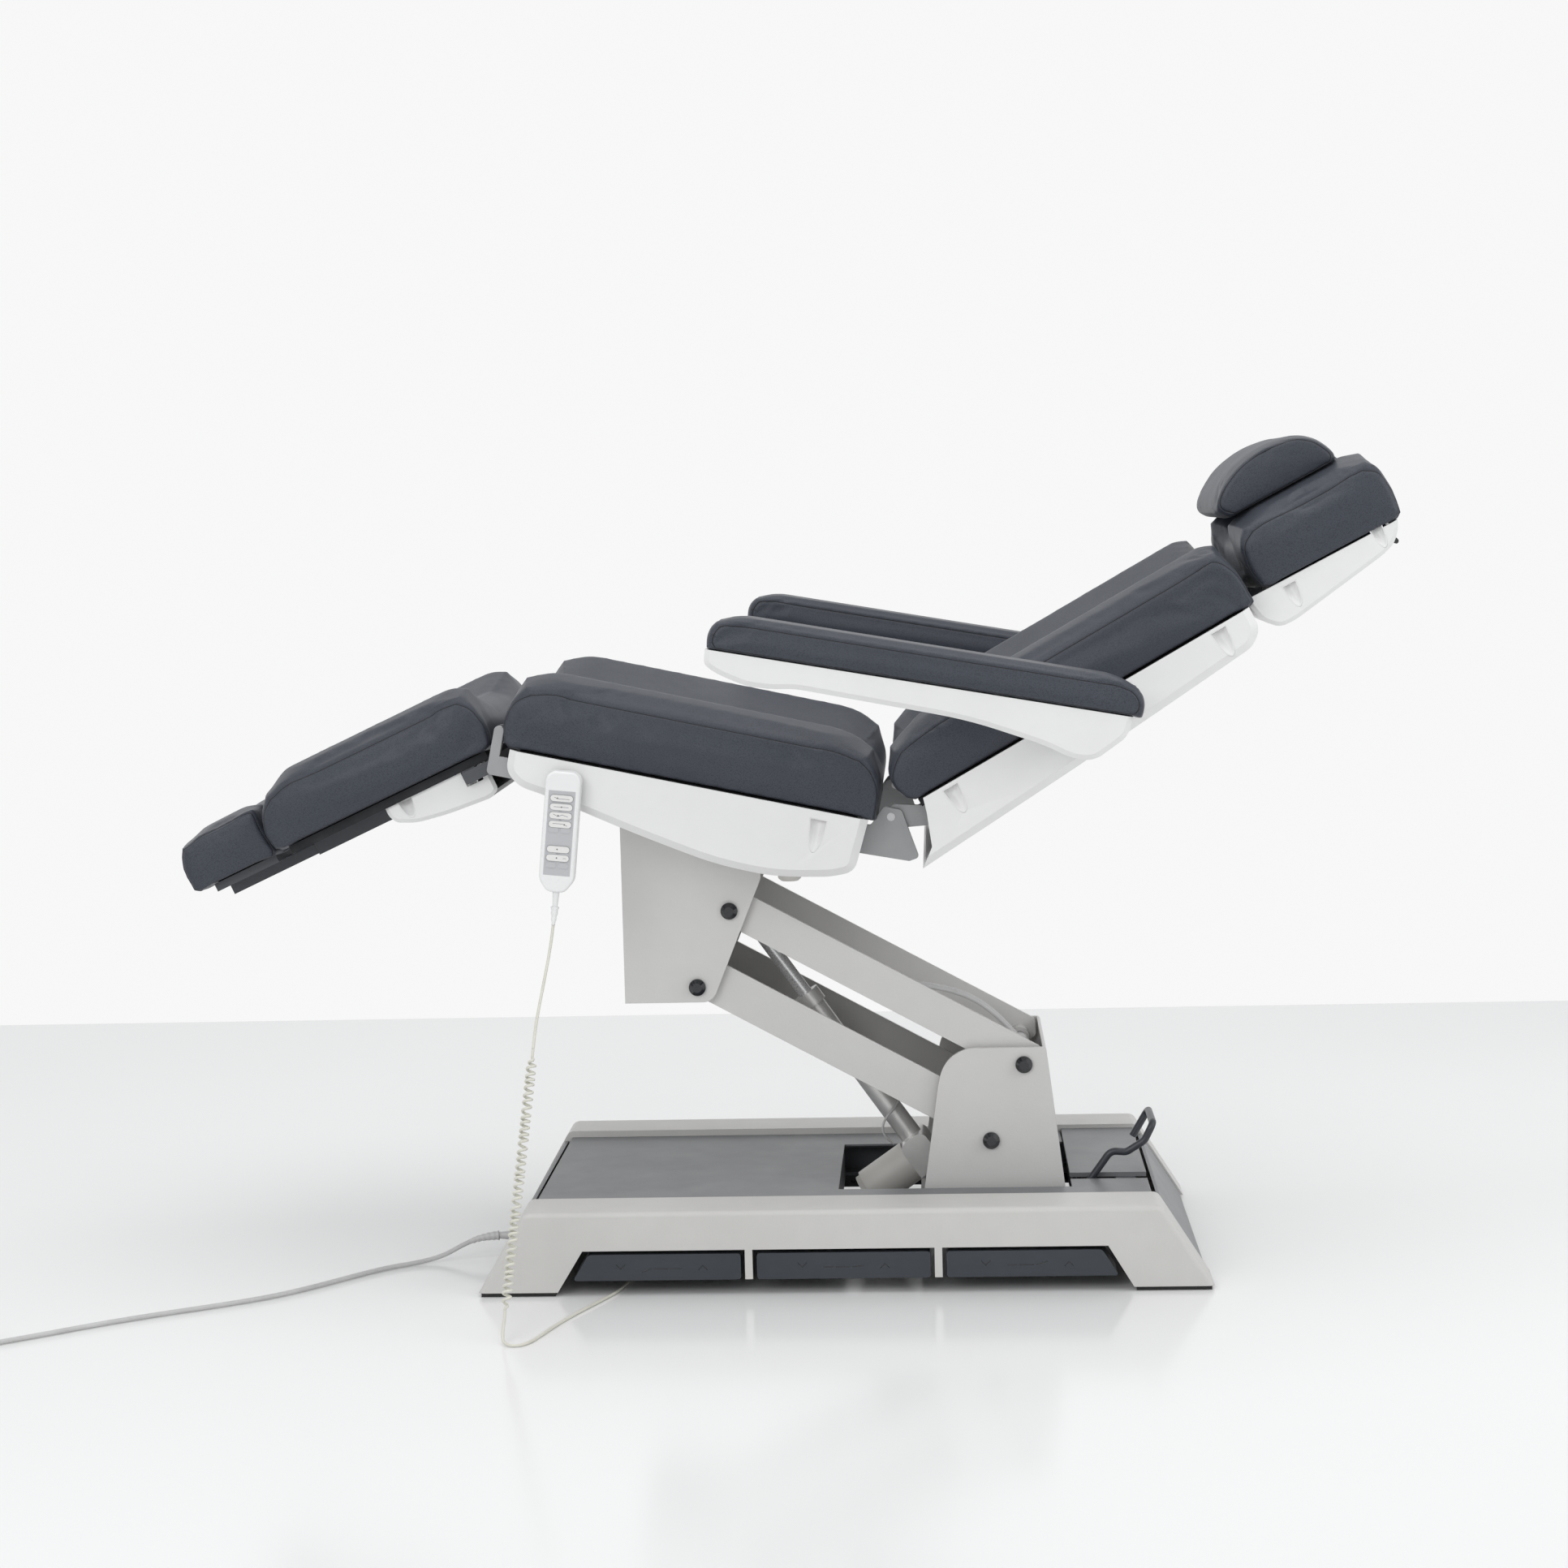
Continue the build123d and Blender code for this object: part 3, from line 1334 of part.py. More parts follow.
def back_shell():
    rim = back_bottom - rest_gap
    points = stretched(back_shell_shares, 0, back_length, rim, -back_shell_depth)
    body = tray(points, back_shell_corner_shares, back_shell_half_width, shell_edge_radius, moulding_wall)
    lip = stretched(back_lip_shares, 0, back_length, rim, -back_shell_depth)
    body = body - slab(sharp(lip), -back_shell_half_width - overrun, back_shell_half_width + overrun)
    place = elbow_place()
    body = body - crossbar(place, elbow_radius + shell_gap, -back_shell_half_width - overrun,
                           back_shell_half_width + overrun)
    for bar in both_sides(Pos(0, -head_bar_side, 0) * along_x(sleeve_radius,
                                                              back_length - shell_edge_radius * 2,
                                                              back_length + overrun, head_bar_height)):
        body = body - bar
    return body


def elbow_axles():
    place = elbow_place()
    return both_sides(crossbar(place, elbow_radius, -arm_inner - elbow_reach, -back_rail_inner))


# Headrest
def head_bars():
    """Two bars that slide in the back's sleeves, with the cross tube that the headrest tilts on."""
    bars = both_sides(Pos(0, -head_bar_side, 0) * along_x(head_bar_radius, head_pivot_reach - head_bar_length,
                                                          head_pivot_reach, head_bar_height))
    tube = crossbar((head_pivot_reach, head_bar_height), head_tube_radius, -head_lug_side - head_lug,
                    head_lug_side + head_lug)
    return joined(bars + [tube])


def head_pivot():
    """The headrest's tilt axis in the chair's side view."""
    return turned(hip, back_slope, head_pivot_reach, head_bar_height)


def head_pivot_place():
    """The headrest's tilt axis in the headrest's own frame."""
    return within(neck, head_slope, head_pivot())


def head_lugs():
    """Two plates under the headrest's board that turn on the bars' cross tube."""
    high = head_bottom - board_thickness
    along, rise = head_pivot_place()
    low = rise - head_lug_drop
    face = filleted(
        [(along - head_lug_length, high), (along + head_lug_length * 2, high),
         (along + head_lug_length * 2, high - sheet),
         (along + head_lug_length, low), (along - head_lug_length, low)],
        [0, 0, 0, sheet, sheet],
    )
    lug = slab(face, -head_lug_side - head_lug, -head_lug_side)
    lug = lug - crossbar((along, rise), head_tube_radius + running_fit, -head_lug_side - head_lug - overrun,
                         overrun - head_lug_side)
    return both_sides(lug)


def head_board():
    half = head_half_width - board_inset
    rear = release_place[0] - release_lug
    return brick(head_front + board_inset, rear, -half, half, head_bottom - board_thickness, head_bottom)


def head_cushion():
    return cushion(head_shares, head_front, head_length - head_front, head_bottom, head_half_width,
                   (head_seam, head_crest, head_valley), head_crest_share)


def head_shell():
    points = stretched(head_shell_shares, 0, head_shell_length, head_bottom - rest_gap, -head_shell_depth)
    body = tray(points, head_shell_corner_shares, head_half_width - shell_step, shell_edge_radius / 2,
                moulding_wall)
    mouth = brick(-overrun, head_mouth_rear, -head_mouth_half, head_mouth_half,
                  -head_shell_depth - overrun, head_bottom + overrun)
    clear = release_lug + shell_gap
    notch = brick(release_place[0] - release_length, head_shell_length + overrun,
                  -release_side - release_width - clear,
                  clear - release_side, release_place[1] - release_length, head_bottom + overrun)
    return body - mouth - notch


def release_lever():
    """The sprung paddle at the head end that frees the headrest's bars."""
    face = outline(stretched(release_shares, release_place[0], release_length, release_place[1],
                             -release_drop), corner_share)
    body = slab(face, -release_side - release_width, -release_side)
    return body - crossbar(release_pivot(), release_pin_radius + running_fit,
                           -release_side - release_width - overrun,
                           overrun - release_side)


def release_pivot():
    return (release_place[0] + release_length * release_pin_share,
            release_place[1] - release_drop * release_pin_share)


def release_pin():
    """The paddle's pin and the two lugs that hold it behind the headrest's board."""
    pivot = release_pivot()
    pin = crossbar(pivot, release_pin_radius, -release_side - release_width - release_lug,
                   release_lug - release_side)
    lugs = []
    for near in (-release_side - release_width - release_lug, rest_gap - release_side):
        lugs.append(brick(release_place[0] - release_lug - overrun, pivot[0] + release_lug, near,
                          near + release_lug - rest_gap, pivot[1] - release_lug, head_bottom - rest_gap))
    return joined([pin] + lugs)


def pillow():
    heights = (pillow_crest - pillow_side_drop, pillow_crest, pillow_crest - rest_gap)
    return cushion(pillow_shares, pillow_front, pillow_length, pillow_bottom, pillow_half_width, heights)


# Leg rest and foot pad
def leg_cushion():
    return cushion(leg_shares, leg_front, leg_rear - leg_front, leg_bottom, leg_half_width,
                   (leg_seam, leg_crest, leg_valley))


def leg_board():
    half = leg_half_width - board_inset
    return brick(leg_front + board_inset / 2, leg_rear - board_inset, -half, half,
                 leg_bottom - board_thickness, leg_bottom)


def leg_shell():
    """The moulding under the leg board, cut where the tubes and the crossbar pass through it."""
    rim = leg_bottom - board_thickness - rest_gap
    points = stretched(leg_shell_shares, leg_shell_front, leg_shell_length, rim, -leg_shell_depth)
    body = tray(points, leg_shell_corner_shares, leg_half_width - leg_shell_inset, shell_edge_radius / 2,
                moulding_wall)
    half = leg_half_width - leg_shell_inset - moulding_wall
    mouth = brick(leg_shell_front + leg_shell_length - moulding_wall * 2,
                  leg_shell_front + leg_shell_length + overrun,
                  -half, half, -leg_shell_depth * 2, leg_bottom + overrun)
    low = rim - leg_rail_size - shell_gap
    body = body - mouth
    for slot in both_sides(brick(leg_shell_front - overrun, leg_shell_front + leg_rail_size * 2,
                                 -leg_rail_side - leg_rail_size - shell_gap, shell_gap - leg_rail_side, low, rim + overrun)):
        body = body - slot
    return body - brick(leg_rail_rear - leg_rail_size - shell_gap, leg_rail_rear + shell_gap, -leg_half_width,
                        leg_half_width, low, rim + overrun)


def leg_rails():
    """Tubes under the leg board, open at the foot end for the bars of the foot pad."""
    low = leg_bottom - board_thickness - leg_rail_size
    high = leg_bottom - board_thickness
    rail = brick(leg_front + board_inset, leg_rail_rear, -leg_rail_side - leg_rail_size, -leg_rail_side,
                 low, high)
    bore = brick(leg_front + board_inset - overrun, leg_bore_rear,
                 -leg_rail_side - leg_rail_size + foot_bar_wall,
                 -leg_rail_side - foot_bar_wall, low + foot_bar_wall, high - foot_bar_wall)
    return both_sides(rail - bore)


def leg_crossbar():
    low = leg_bottom - board_thickness - leg_rail_size
    high = leg_bottom - board_thickness
    bars = [brick(leg_rail_rear - leg_rail_size, leg_rail_rear, -leg_rail_side, leg_rail_side, low, high)]
    bars += both_sides(brick(leg_rail_rear - leg_rail_size, leg_rail_rear, -leg_ear_inner,
                             -leg_rail_side - leg_rail_size, low, high))
    return bars


def foot_bars():
    low = leg_bottom - board_thickness - leg_rail_size
    bar_low = low + foot_bar_wall + foot_bar_gap
    bar_high = leg_bottom - board_thickness - foot_bar_wall - foot_bar_gap
    near = -leg_rail_side - leg_rail_size + foot_bar_wall + foot_bar_gap
    far = -leg_rail_side - foot_bar_wall - foot_bar_gap
    bar = brick(foot_front + board_inset, foot_bar_rear, near, far, bar_low, bar_high)
    bars = both_sides(bar)
    cross = brick(foot_front + board_inset, foot_front + board_inset + leg_rail_size, far, -far, bar_low,
                  bar_high)
    return joined(bars + [cross])


def foot_board():
    half = foot_half_width - board_inset
    low = leg_bottom - board_thickness - foot_bar_wall - foot_bar_gap
    return brick(foot_front + board_inset, foot_rear - board_inset / 2, -half, half, low, low + board_thickness)


def foot_cushion():
    low = leg_bottom - foot_bar_wall - foot_bar_gap
    heights = (foot_crest - foot_side_drop, foot_crest, foot_crest - foot_side_drop / 2)
    return cushion(foot_shares, foot_front, foot_rear - foot_front, low, foot_half_width, heights)


# Armrests
def arm_middle():
    return (arm_outer + arm_inner) / 2


def arm_pad():
    heights = (arm_pad_top - arm_pad_drop, arm_pad_top, arm_pad_top)
    return cushion(arm_pad_shares, arm_pad_front, arm_pad_length, arm_pad_bottom,
                   (arm_outer - arm_inner) / 2, heights)


def arm_shell():
    points = stretched(arm_shell_shares, arm_pad_front, arm_shell_length, arm_pad_bottom - rest_gap,
                       -arm_shell_depth)
    half = (arm_outer - arm_inner) / 2 - arm_shell_inset
    body = tray(points, arm_shell_corner_shares, half, arm_shell_radius, moulding_wall)
    body = body - crossbar((0, 0), elbow_boss, 0, half + overrun)
    return body + arm_frame()


def arm_frame():
    """The bar inside the armrest, with the boss that turns on the back's axle."""
    half = (arm_outer - arm_inner) / 2 - arm_shell_inset - moulding_wall - rest_gap
    boss = crossbar((0, 0), elbow_boss, arm_boss_near, half)
    strap = brick(arm_strap_front, elbow_boss, -arm_strap_half, arm_strap_half, arm_pad_bottom - arm_strap,
                  arm_pad_bottom - rest_gap)
    post = brick(-elbow_boss, elbow_boss, arm_boss_near, arm_boss_near + arm_post, 0,
                 arm_pad_bottom - arm_strap + overrun)
    body = boss + strap + post
    return body - crossbar((0, 0), elbow_radius + running_fit, arm_boss_near - overrun, half + overrun)


def leg_ears():
    """Bent plates that reach from under the leg board up to the knee hinge."""
    eye = knee_boss * knee_eye_share
    rear = leg_rail_rear - leg_rail_size
    side = filleted(
        [(-knee_boss, knee_boss), (knee_boss, knee_boss), (knee_boss, -knee_boss / 2),
         leg_ear_heel, (rear, leg_ear_heel[1]), (rear, leg_ear_neck[1]), leg_ear_neck],
        [eye, eye, knee_boss / 2, knee_boss / 2, 0, 0, 0],
    )
    return eye_plates(side, leg_ear_inner)


def hook():
    """The hook plate that the handset hangs on, fixed to the seat shell."""
    place = Pos(handset_top[0], -seat_shell_half_width - rest_gap, handset_top[1])
    plate = brick(-handset_width / 4, handset_width / 4, -hook_depth, 0, -handset_length / 3, -keypad_border)
    return place * plate


seat_place = frame_at(knee, seat_slope)
back_place = frame_at(hip, back_slope)
head_place = frame_at(neck, head_slope)
leg_place = frame_at(knee, leg_slope)
arm_place = frame_at(elbow, arm_slope)
actuator_place = actuator_frame()[0]

# Base
near_sill = sill()
save("foot_pads", foot_pads())
save("sills", both_sides(near_sill))
save("end_panels", [end_panel(base_floor_front, base_top_front, 1),
                    end_panel(base_floor_rear, base_top_rear, -1)])
save("chassis", both_sides(chassis_rail()) + cross_members() + shaft_blocks() + actuator_clevis())
save("deck", [deck(), rear_panel()])
for count in range(3):
    one = pedal(count)
    save(f"pedal_near_{count + 1}", one)
    save(f"pedal_far_{count + 1}", mirror(one, about=Plane.XZ))
switch_blocks, switch_pins = pedal_switches()
save("pedal_switches", [side for piece in switch_blocks + switch_pins for side in both_sides(piece)])
save("transport_lever", lever())
wheel = castor_wheel()
save("castor_near", wheel)
save("castor_far", mirror(wheel, about=Plane.XZ))

# Lift
base_pins = [base_pin_upper, base_pin_lower]
save("base_bracket", base_bracket())
save("base_pins", pins(base_pins, bracket_half_width))
save("base_pin_caps", pin_caps(base_pins, bracket_half_width))
save("upper_arm", upper_arm())
save("lower_arm", lower_arm())
save("head_bracket", head_bracket())
save("head_pins", pins(head_pins(), bracket_half_width) + [tilt_pin()])
save("head_pin_caps", pin_caps(head_pins(), bracket_half_width))
save("lift_tube", lift_tube(), actuator_place)
save("lift_motor", lift_motor(), actuator_place)
save("lift_rod", lift_rod(), actuator_place)

# Seat
save("seat_cushion", seat_cushion(), seat_place)
save("seat_board", seat_board(), seat_place)
bracket_room = brick(head_plate_front - head_opening_gap, head_opening_rear,
                     -bracket_half_width - head_opening_gap,
                     bracket_half_width + head_opening_gap, head_plate_rear[1] - overrun, head_plate_top + overrun)
save("seat_shell", (seat_place * seat_shell()) - bracket_room)
knee_pins = hinge_pins((0, 0), knee_pin_radius, leg_ear_inner, knee_ear_inner + knee_plate)
seat_bars = joined(seat_rails() + seat_crossbars() + seat_ears() + knee_ears())
save("seat_frame", [seat_place * seat_bars, hook()] + [seat_place * pin for pin in knee_pins])
handset_side = -seat_shell_half_width - hook_depth - rest_gap
handset_place = Pos(handset_top[0], handset_side, handset_top[1]) * Rot(0, handset_slope, 0)
save("handset", handset(), handset_place)
save("handset_keypad", handset_keypad(), handset_place)

# Back
outer_rail = back_rail_inner + back_rail_width
save("back_frame", joined(back_rails() + back_crossbars() + back_sleeves()), back_place)
save("back_board", back_board(), back_place)
save("back_cushion", back_cushion(), back_place)
save("back_shell", back_shell(), back_place)
hip_pins = hinge_pins((0, 0), hinge_pin_radius, outer_rail, ear_inner + ear_plate)
save("back_pins", hip_pins + elbow_axles(), back_place)

# Head
save("head_bars", head_bars(), back_place)
save("head_frame", joined([head_board(), release_pin()] + head_lugs()), head_place)
save("head_cushion", head_cushion(), head_place)
save("head_shell", head_shell(), head_place)
save("pillow", pillow(), head_place)
save("release_lever", release_lever(), head_place)

# Leg and foot
save("leg_cushion", leg_cushion(), leg_place)
save("leg_board", leg_board(), leg_place)
save("leg_shell", leg_shell(), leg_place)
save("leg_frame", joined(leg_rails() + leg_crossbar() + leg_ears()), leg_place)
save("foot_frame", joined([foot_bars(), foot_board()]), leg_place)
save("foot_cushion", foot_cushion(), leg_place)

# Armrests
for side, name in ((-1, "near"), (1, "far")):
    for piece, solid in (("pad", arm_pad()), ("shell", arm_shell())):
        placed = Pos(0, -arm_middle(), 0) * arm_place * solid
        save(f"arm_{piece}_{name}", placed if side < 0 else mirror(placed, about=Plane.XZ))

# Cords
save("cord_glands", cord_glands())
save("mains_cord", cord_run("mains_cord", mains_route, mains_radius))
save("mains_coil", mains_coil())
save("mains_plug", mains_plug())
save("handset_lead_upper", cord_run("handset_lead_upper", lead_upper_route, lead_radius))
save("curly_cord", curly_cord())
save("handset_lead_lower", cord_run("handset_lead_lower", lead_lower_route, lead_radius))
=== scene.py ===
import json
import math

import bmesh
import bpy
import numpy as np
from mathutils import Matrix, Vector


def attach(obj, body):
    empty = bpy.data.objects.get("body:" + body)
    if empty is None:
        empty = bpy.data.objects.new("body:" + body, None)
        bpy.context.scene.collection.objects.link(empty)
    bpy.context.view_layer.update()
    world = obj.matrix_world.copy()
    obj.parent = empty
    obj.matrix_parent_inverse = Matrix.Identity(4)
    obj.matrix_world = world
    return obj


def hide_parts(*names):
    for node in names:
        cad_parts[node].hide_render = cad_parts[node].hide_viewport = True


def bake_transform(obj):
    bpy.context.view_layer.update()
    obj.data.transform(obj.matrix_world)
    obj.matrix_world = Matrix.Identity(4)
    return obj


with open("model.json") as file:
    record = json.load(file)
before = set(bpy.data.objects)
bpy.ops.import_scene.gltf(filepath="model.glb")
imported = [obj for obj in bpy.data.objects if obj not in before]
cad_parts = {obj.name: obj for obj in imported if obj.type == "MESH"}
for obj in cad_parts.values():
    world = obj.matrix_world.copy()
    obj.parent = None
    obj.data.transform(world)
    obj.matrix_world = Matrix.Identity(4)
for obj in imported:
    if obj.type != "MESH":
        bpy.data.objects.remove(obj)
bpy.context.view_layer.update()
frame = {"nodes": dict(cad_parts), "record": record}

# Camera: the photograph's viewpoint, in metres and degrees
EYE = (0.222963, -4.332484, 1.133692)
YAW, PITCH, ROLL = 3.10987, 5.68076, -1.45824
LENS, SENSOR = 66.26, 36.0

# Section hinges and slopes in the side view, as in the part
KNEE, SEAT_SLOPE, LEG_SLOPE = (-0.402, 0.813), 12.3, -24.5
HIP, BACK_SLOPE = (0.152, 0.675), -29.3
NECK, HEAD_SLOPE = (0.662, 0.970), -27.0
ELBOW, ARM_SLOPE = (0.410, 0.790), 10.3

# Stuffing
WEAVE_CELL = 0.006
STUFF_FRAMES = 20
STUFF_PRESSURE = 4.0
GLUED_BELOW = -0.75
WELD = 0.00002

# Cord routes: the same places as in the part, in metres
TURN_STEPS = 12
MAINS_DIAMETER, MAINS_LENGTH, MAINS_LIE = 0.007, 2.92, 0.0038
MAINS_FLOOR = (
    (-0.572, -0.126), (-0.614, -0.152), (-0.655, -0.196), (-0.700, -0.250), (-0.752, -0.303),
    (-0.820, -0.347), (-0.900, -0.391), (-0.975, -0.439), (-1.040, -0.488), (-1.092, -0.524),
    (-1.128, -0.549),
)
MAINS_ROUTE = (
    (-0.456, -0.087, 0.034), (-0.481, -0.090, 0.033), (-0.508, -0.098, 0.024), (-0.538, -0.110, 0.009),
    *((x, y, MAINS_LIE) for x, y in MAINS_FLOOR),
)
COIL_RADIUS, COIL_PITCH, COIL_LAYER, COIL_TURNS, COIL_QUARTERS = 0.062, 0.0078, 0.0074, 4, 29
MAINS_TAIL = ((-1.224, -0.5095, 0.013), (-1.243, -0.492, 0.016), (-1.268, -0.4835, 0.0185),
              (-1.294, -0.4835, 0.0185))
LEAD_DIAMETER, LEAD_UPPER_LENGTH, LEAD_LOWER_LENGTH, LEAD_LIE = 0.0042, 0.207, 1.77, 0.0024
LEAD_UPPER_ROUTE = (
    (-0.3253, -0.3033, 0.564), (-0.3274, -0.3045, 0.546), (-0.3305, -0.3100, 0.520),
    (-0.3355, -0.3230, 0.488), (-0.3410, -0.3400, 0.456), (-0.3458, -0.3560, 0.428),
    (-0.3495, -0.3710, 0.4028), (-0.3519, -0.3816, 0.3758),
)
CURL_AXIS = ((-0.3520, -0.3820, 0.375), (-0.3837, -0.5184, 0.034))
CURL_RADIUS, CURL_COUNT, CURL_RAMP = 0.0056, 36, 1.5
CURL_WAVES = ((0.0016, 0.9, 0), (0.0009, 2.3, 1))
LEAD_FLOOR = (
    (-0.374, -0.553), (-0.361, -0.5545), (-0.349, -0.543), (-0.340, -0.518), (-0.330, -0.484),
    (-0.316, -0.440), (-0.297, -0.392), (-0.275, -0.342), (-0.257, -0.300), (-0.247, -0.262),
)
LEAD_LOWER_ROUTE = (
    (-0.3837, -0.5184, 0.034), (-0.3848, -0.5232, 0.022), (-0.3855, -0.532, 0.011), (-0.383, -0.544, 0.004),
    *((x, y, LEAD_LIE) for x, y in LEAD_FLOOR),
    (-0.242, -0.226, 0.0032), (-0.240, -0.199, 0.009), (-0.240, -0.182, 0.024), (-0.240, -0.180, 0.046),
)

# Cables in the upper arm and at the motor, and the boss that the first two end in
CABLE_ROUTE = (
    (0.060, 0.0, 0.4335), (0.110, -0.002, 0.406), (0.155, 0.0, 0.388), (0.195, 0.004, 0.384),
    (0.232, 0.006, 0.376), (0.268, 0.006, 0.362), (0.298, 0.003, 0.340), (0.318, 0.0, 0.320),
    (0.334, -0.002, 0.302),
)
CABLE_SIDES, CABLE_STEP, CABLE_DIAMETER, MOTOR_CABLE_DIAMETER = (0.030, 0.041), 0.002, 0.0062, 0.0036
MOTOR_CABLE = (
    (0.1420, -0.0280, 0.1530), (0.1330, -0.0330, 0.1610), (0.1255, -0.0350, 0.1730),
    (0.1265, -0.0340, 0.1870), (0.1350, -0.0300, 0.1990), (0.1460, -0.0220, 0.2080),
    (0.1500, -0.0100, 0.2150),
)
BOSS_PLACE, BOSS_RINGS = (0.338, 0.293), ((0.020, 0.0115), (0.022, 0.0135), (0.052, 0.0135), (0.054, 0.0115))

# Handset keys, in the handset's own frame: along its length, and the strokes and dot of each sign
HANDSET_TOP, HANDSET_SLOPE, KEYPAD_FACE = (-0.305, 0.757), 6.0, -0.3149
KEY_HEIGHTS = (-0.0380, -0.0503, -0.0626, -0.0749, -0.1105, -0.1228)
KEY_SIGNS = (
    (((-0.0105, 0.0012), (-0.0060, -0.0008)), ((-0.0060, -0.0008), (0.0110, -0.0008))),
    (((-0.0105, 0.0), (0.0105, 0.0)),),
    (((-0.0105, 0.0018), (-0.0035, -0.0014)), ((-0.0035, -0.0014), (0.0020, 0.0014)),
     ((0.0020, 0.0014), (0.0105, -0.0010))),
    (((-0.0105, 0.0008), (0.0045, 0.0008)), ((0.0045, 0.0008), (0.0100, -0.0016))),
    (),
    (((0.0075, 0.0), (0.0120, 0.0)),),
)
KEY_DOTS = (-0.0060, 0.0005, -0.0035, 0.0062, -0.0015, -0.0015)
KEY_HALF, KEY_RADIUS, FACE_INSET, RIM_INSET = 0.0165, 0.0050, 0.0003, 0.0004
KEY_DEPTH, FACE_LIFT, PRINT_LIFT, DOT_LIFT = 0.0004, -0.0002, -0.00024, -0.00026
SIGN_STROKE, DOT_HALF, DOT_RADIUS = 0.0006, 0.00112, 0.0011

# Pedal marks: where they sit, the strokes between the arrowheads, and the ends that bend up or down
PEDAL_MIDDLES, PEDAL_FACE, PEDAL_MIDDLE_HEIGHT = (-0.1885, 0.0719, 0.3334), 0.3065, 0.041
CHEVRON_REACH, CHEVRON_SIZE, CHEVRON_STROKE, CHEVRON_DEPTH = 0.059, 0.0065, 0.0024, 0.0008
PEDAL_STROKES = ((-0.0286, -0.0149), (-0.0114, 0.0091), (0.0120, 0.0286))
PEDAL_LIFTS = {(0, 0): (-0.0050, 0.0), (1, 2): (0.0, 0.0012), (2, 2): (0.0, 0.0050)}
STROKE_DROP, STROKE_WIDTH, STROKE_DEPTH, STROKE_LIFT = 0.002, 0.0017, 0.0005, 0.0002

# The round foot below the seat shell: its place, then each ring's rise and radius
CAP_PLACE = (0.004, -0.215, 0.584)
CAP_RINGS = ((0.0, 0.0125), (0.0035, 0.0165), (0.009, 0.0175), (0.020, 0.0175))

# Screw pockets in the shells: along and rise of each pocket's middle, its height and its radius, then how
# far the shell's wall lies from the middle there
SCOOPED = (
    ("seat_shell", "seat", KNEE, SEAT_SLOPE, ((0.4712, -0.0581, 0.046, 0.0115),), 0.286),
    ("back_shell", "back", HIP, BACK_SLOPE,
     ((0.0972, -0.0215, 0.040, 0.0115), (0.5293, -0.0209, 0.040, 0.0115)), 0.286),
    ("head_shell", "head", NECK, HEAD_SLOPE,
     ((0.0620, -0.0228, 0.034, 0.0100), (0.2050, -0.0065, 0.032, 0.0090)), 0.222),
    ("leg_shell", "leg", KNEE, LEG_SLOPE,
     ((-0.0753, -0.0482, 0.036, 0.0120), (-0.1738, -0.0425, 0.028, 0.0110)), 0.233),
)
POCKET_WALL, POCKET_TAPER, POCKET_OUT = 0.0014, 0.42, 0.15
POCKET_LEAN, POCKET_SLIP, POCKET_CURVE = 0.30, 0.55, 1.6

# The studio floor's reach to the sides and the front, where it ends behind, and how far below 0 it lies
FLOOR_REACH, FLOOR_END, FLOOR_DROP = 9, 1.95, 0.0002


# Node helpers
def new_group(name, inputs, outputs):
    """A shader node group, the sockets that it is given and the sockets that it puts out."""
    tree = bpy.data.node_groups.new(name, "ShaderNodeTree")
    for label, kind, value in inputs:
        socket = tree.interface.new_socket(label, in_out="INPUT", socket_type=kind)
        if value is not None:
            socket.default_value = value
    for label, kind in outputs:
        tree.interface.new_socket(label, in_out="OUTPUT", socket_type=kind)
    given, out = tree.nodes.new("NodeGroupInput"), tree.nodes.new("NodeGroupOutput")
    return tree, given.outputs, out.inputs


def link(tree, start, end):
    tree.links.new(start, end)


def added(tree, kind, inputs=(), **settings):
    """A new node with its settings, and its inputs given as values or as sockets to read."""
    node = tree.nodes.new(kind)
    for label, value in settings.items():
        setattr(node, label, value)
    for label, value in dict(inputs).items():
        if isinstance(value, bpy.types.NodeSocket):
            link(tree, value, node.inputs[label])
        else:
            node.inputs[label].default_value = value
    return node


def maths(tree, operation, *values, clamp=False):
    """A Math node fed by sockets or numbers; gives its output."""
    node = added(tree, "ShaderNodeMath", enumerate(values), operation=operation, use_clamp=clamp)
    return node.outputs[0]


def times(tree, first, second, clamp=False):
    return maths(tree, "MULTIPLY", first, second, clamp=clamp)


def plus(tree, first, second):
    return maths(tree, "ADD", first, second)


def noise(tree, place, scale, detail=2.0, rough=0.5):
    inputs = {"Vector": place, "Scale": scale, "Detail": detail, "Roughness": rough}
    return added(tree, "ShaderNodeTexNoise", inputs).outputs["Fac"]


def mapped(tree, value, low, high, out_low=0.0, out_high=1.0):
    inputs = {"Value": value, "From Min": low, "From Max": high, "To Min": out_low, "To Max": out_high}
    return added(tree, "ShaderNodeMapRange", inputs).outputs["Result"]


def blended(tree, factor, first, second):
    """A colour Mix node between two colours or sockets."""
    first, second = [(*value, 1.0) if isinstance(value, tuple) else value for value in (first, second)]
    return added(tree, "ShaderNodeMix", {"Factor": factor, 6: first, 7: second}, data_type="RGBA").outputs[2]


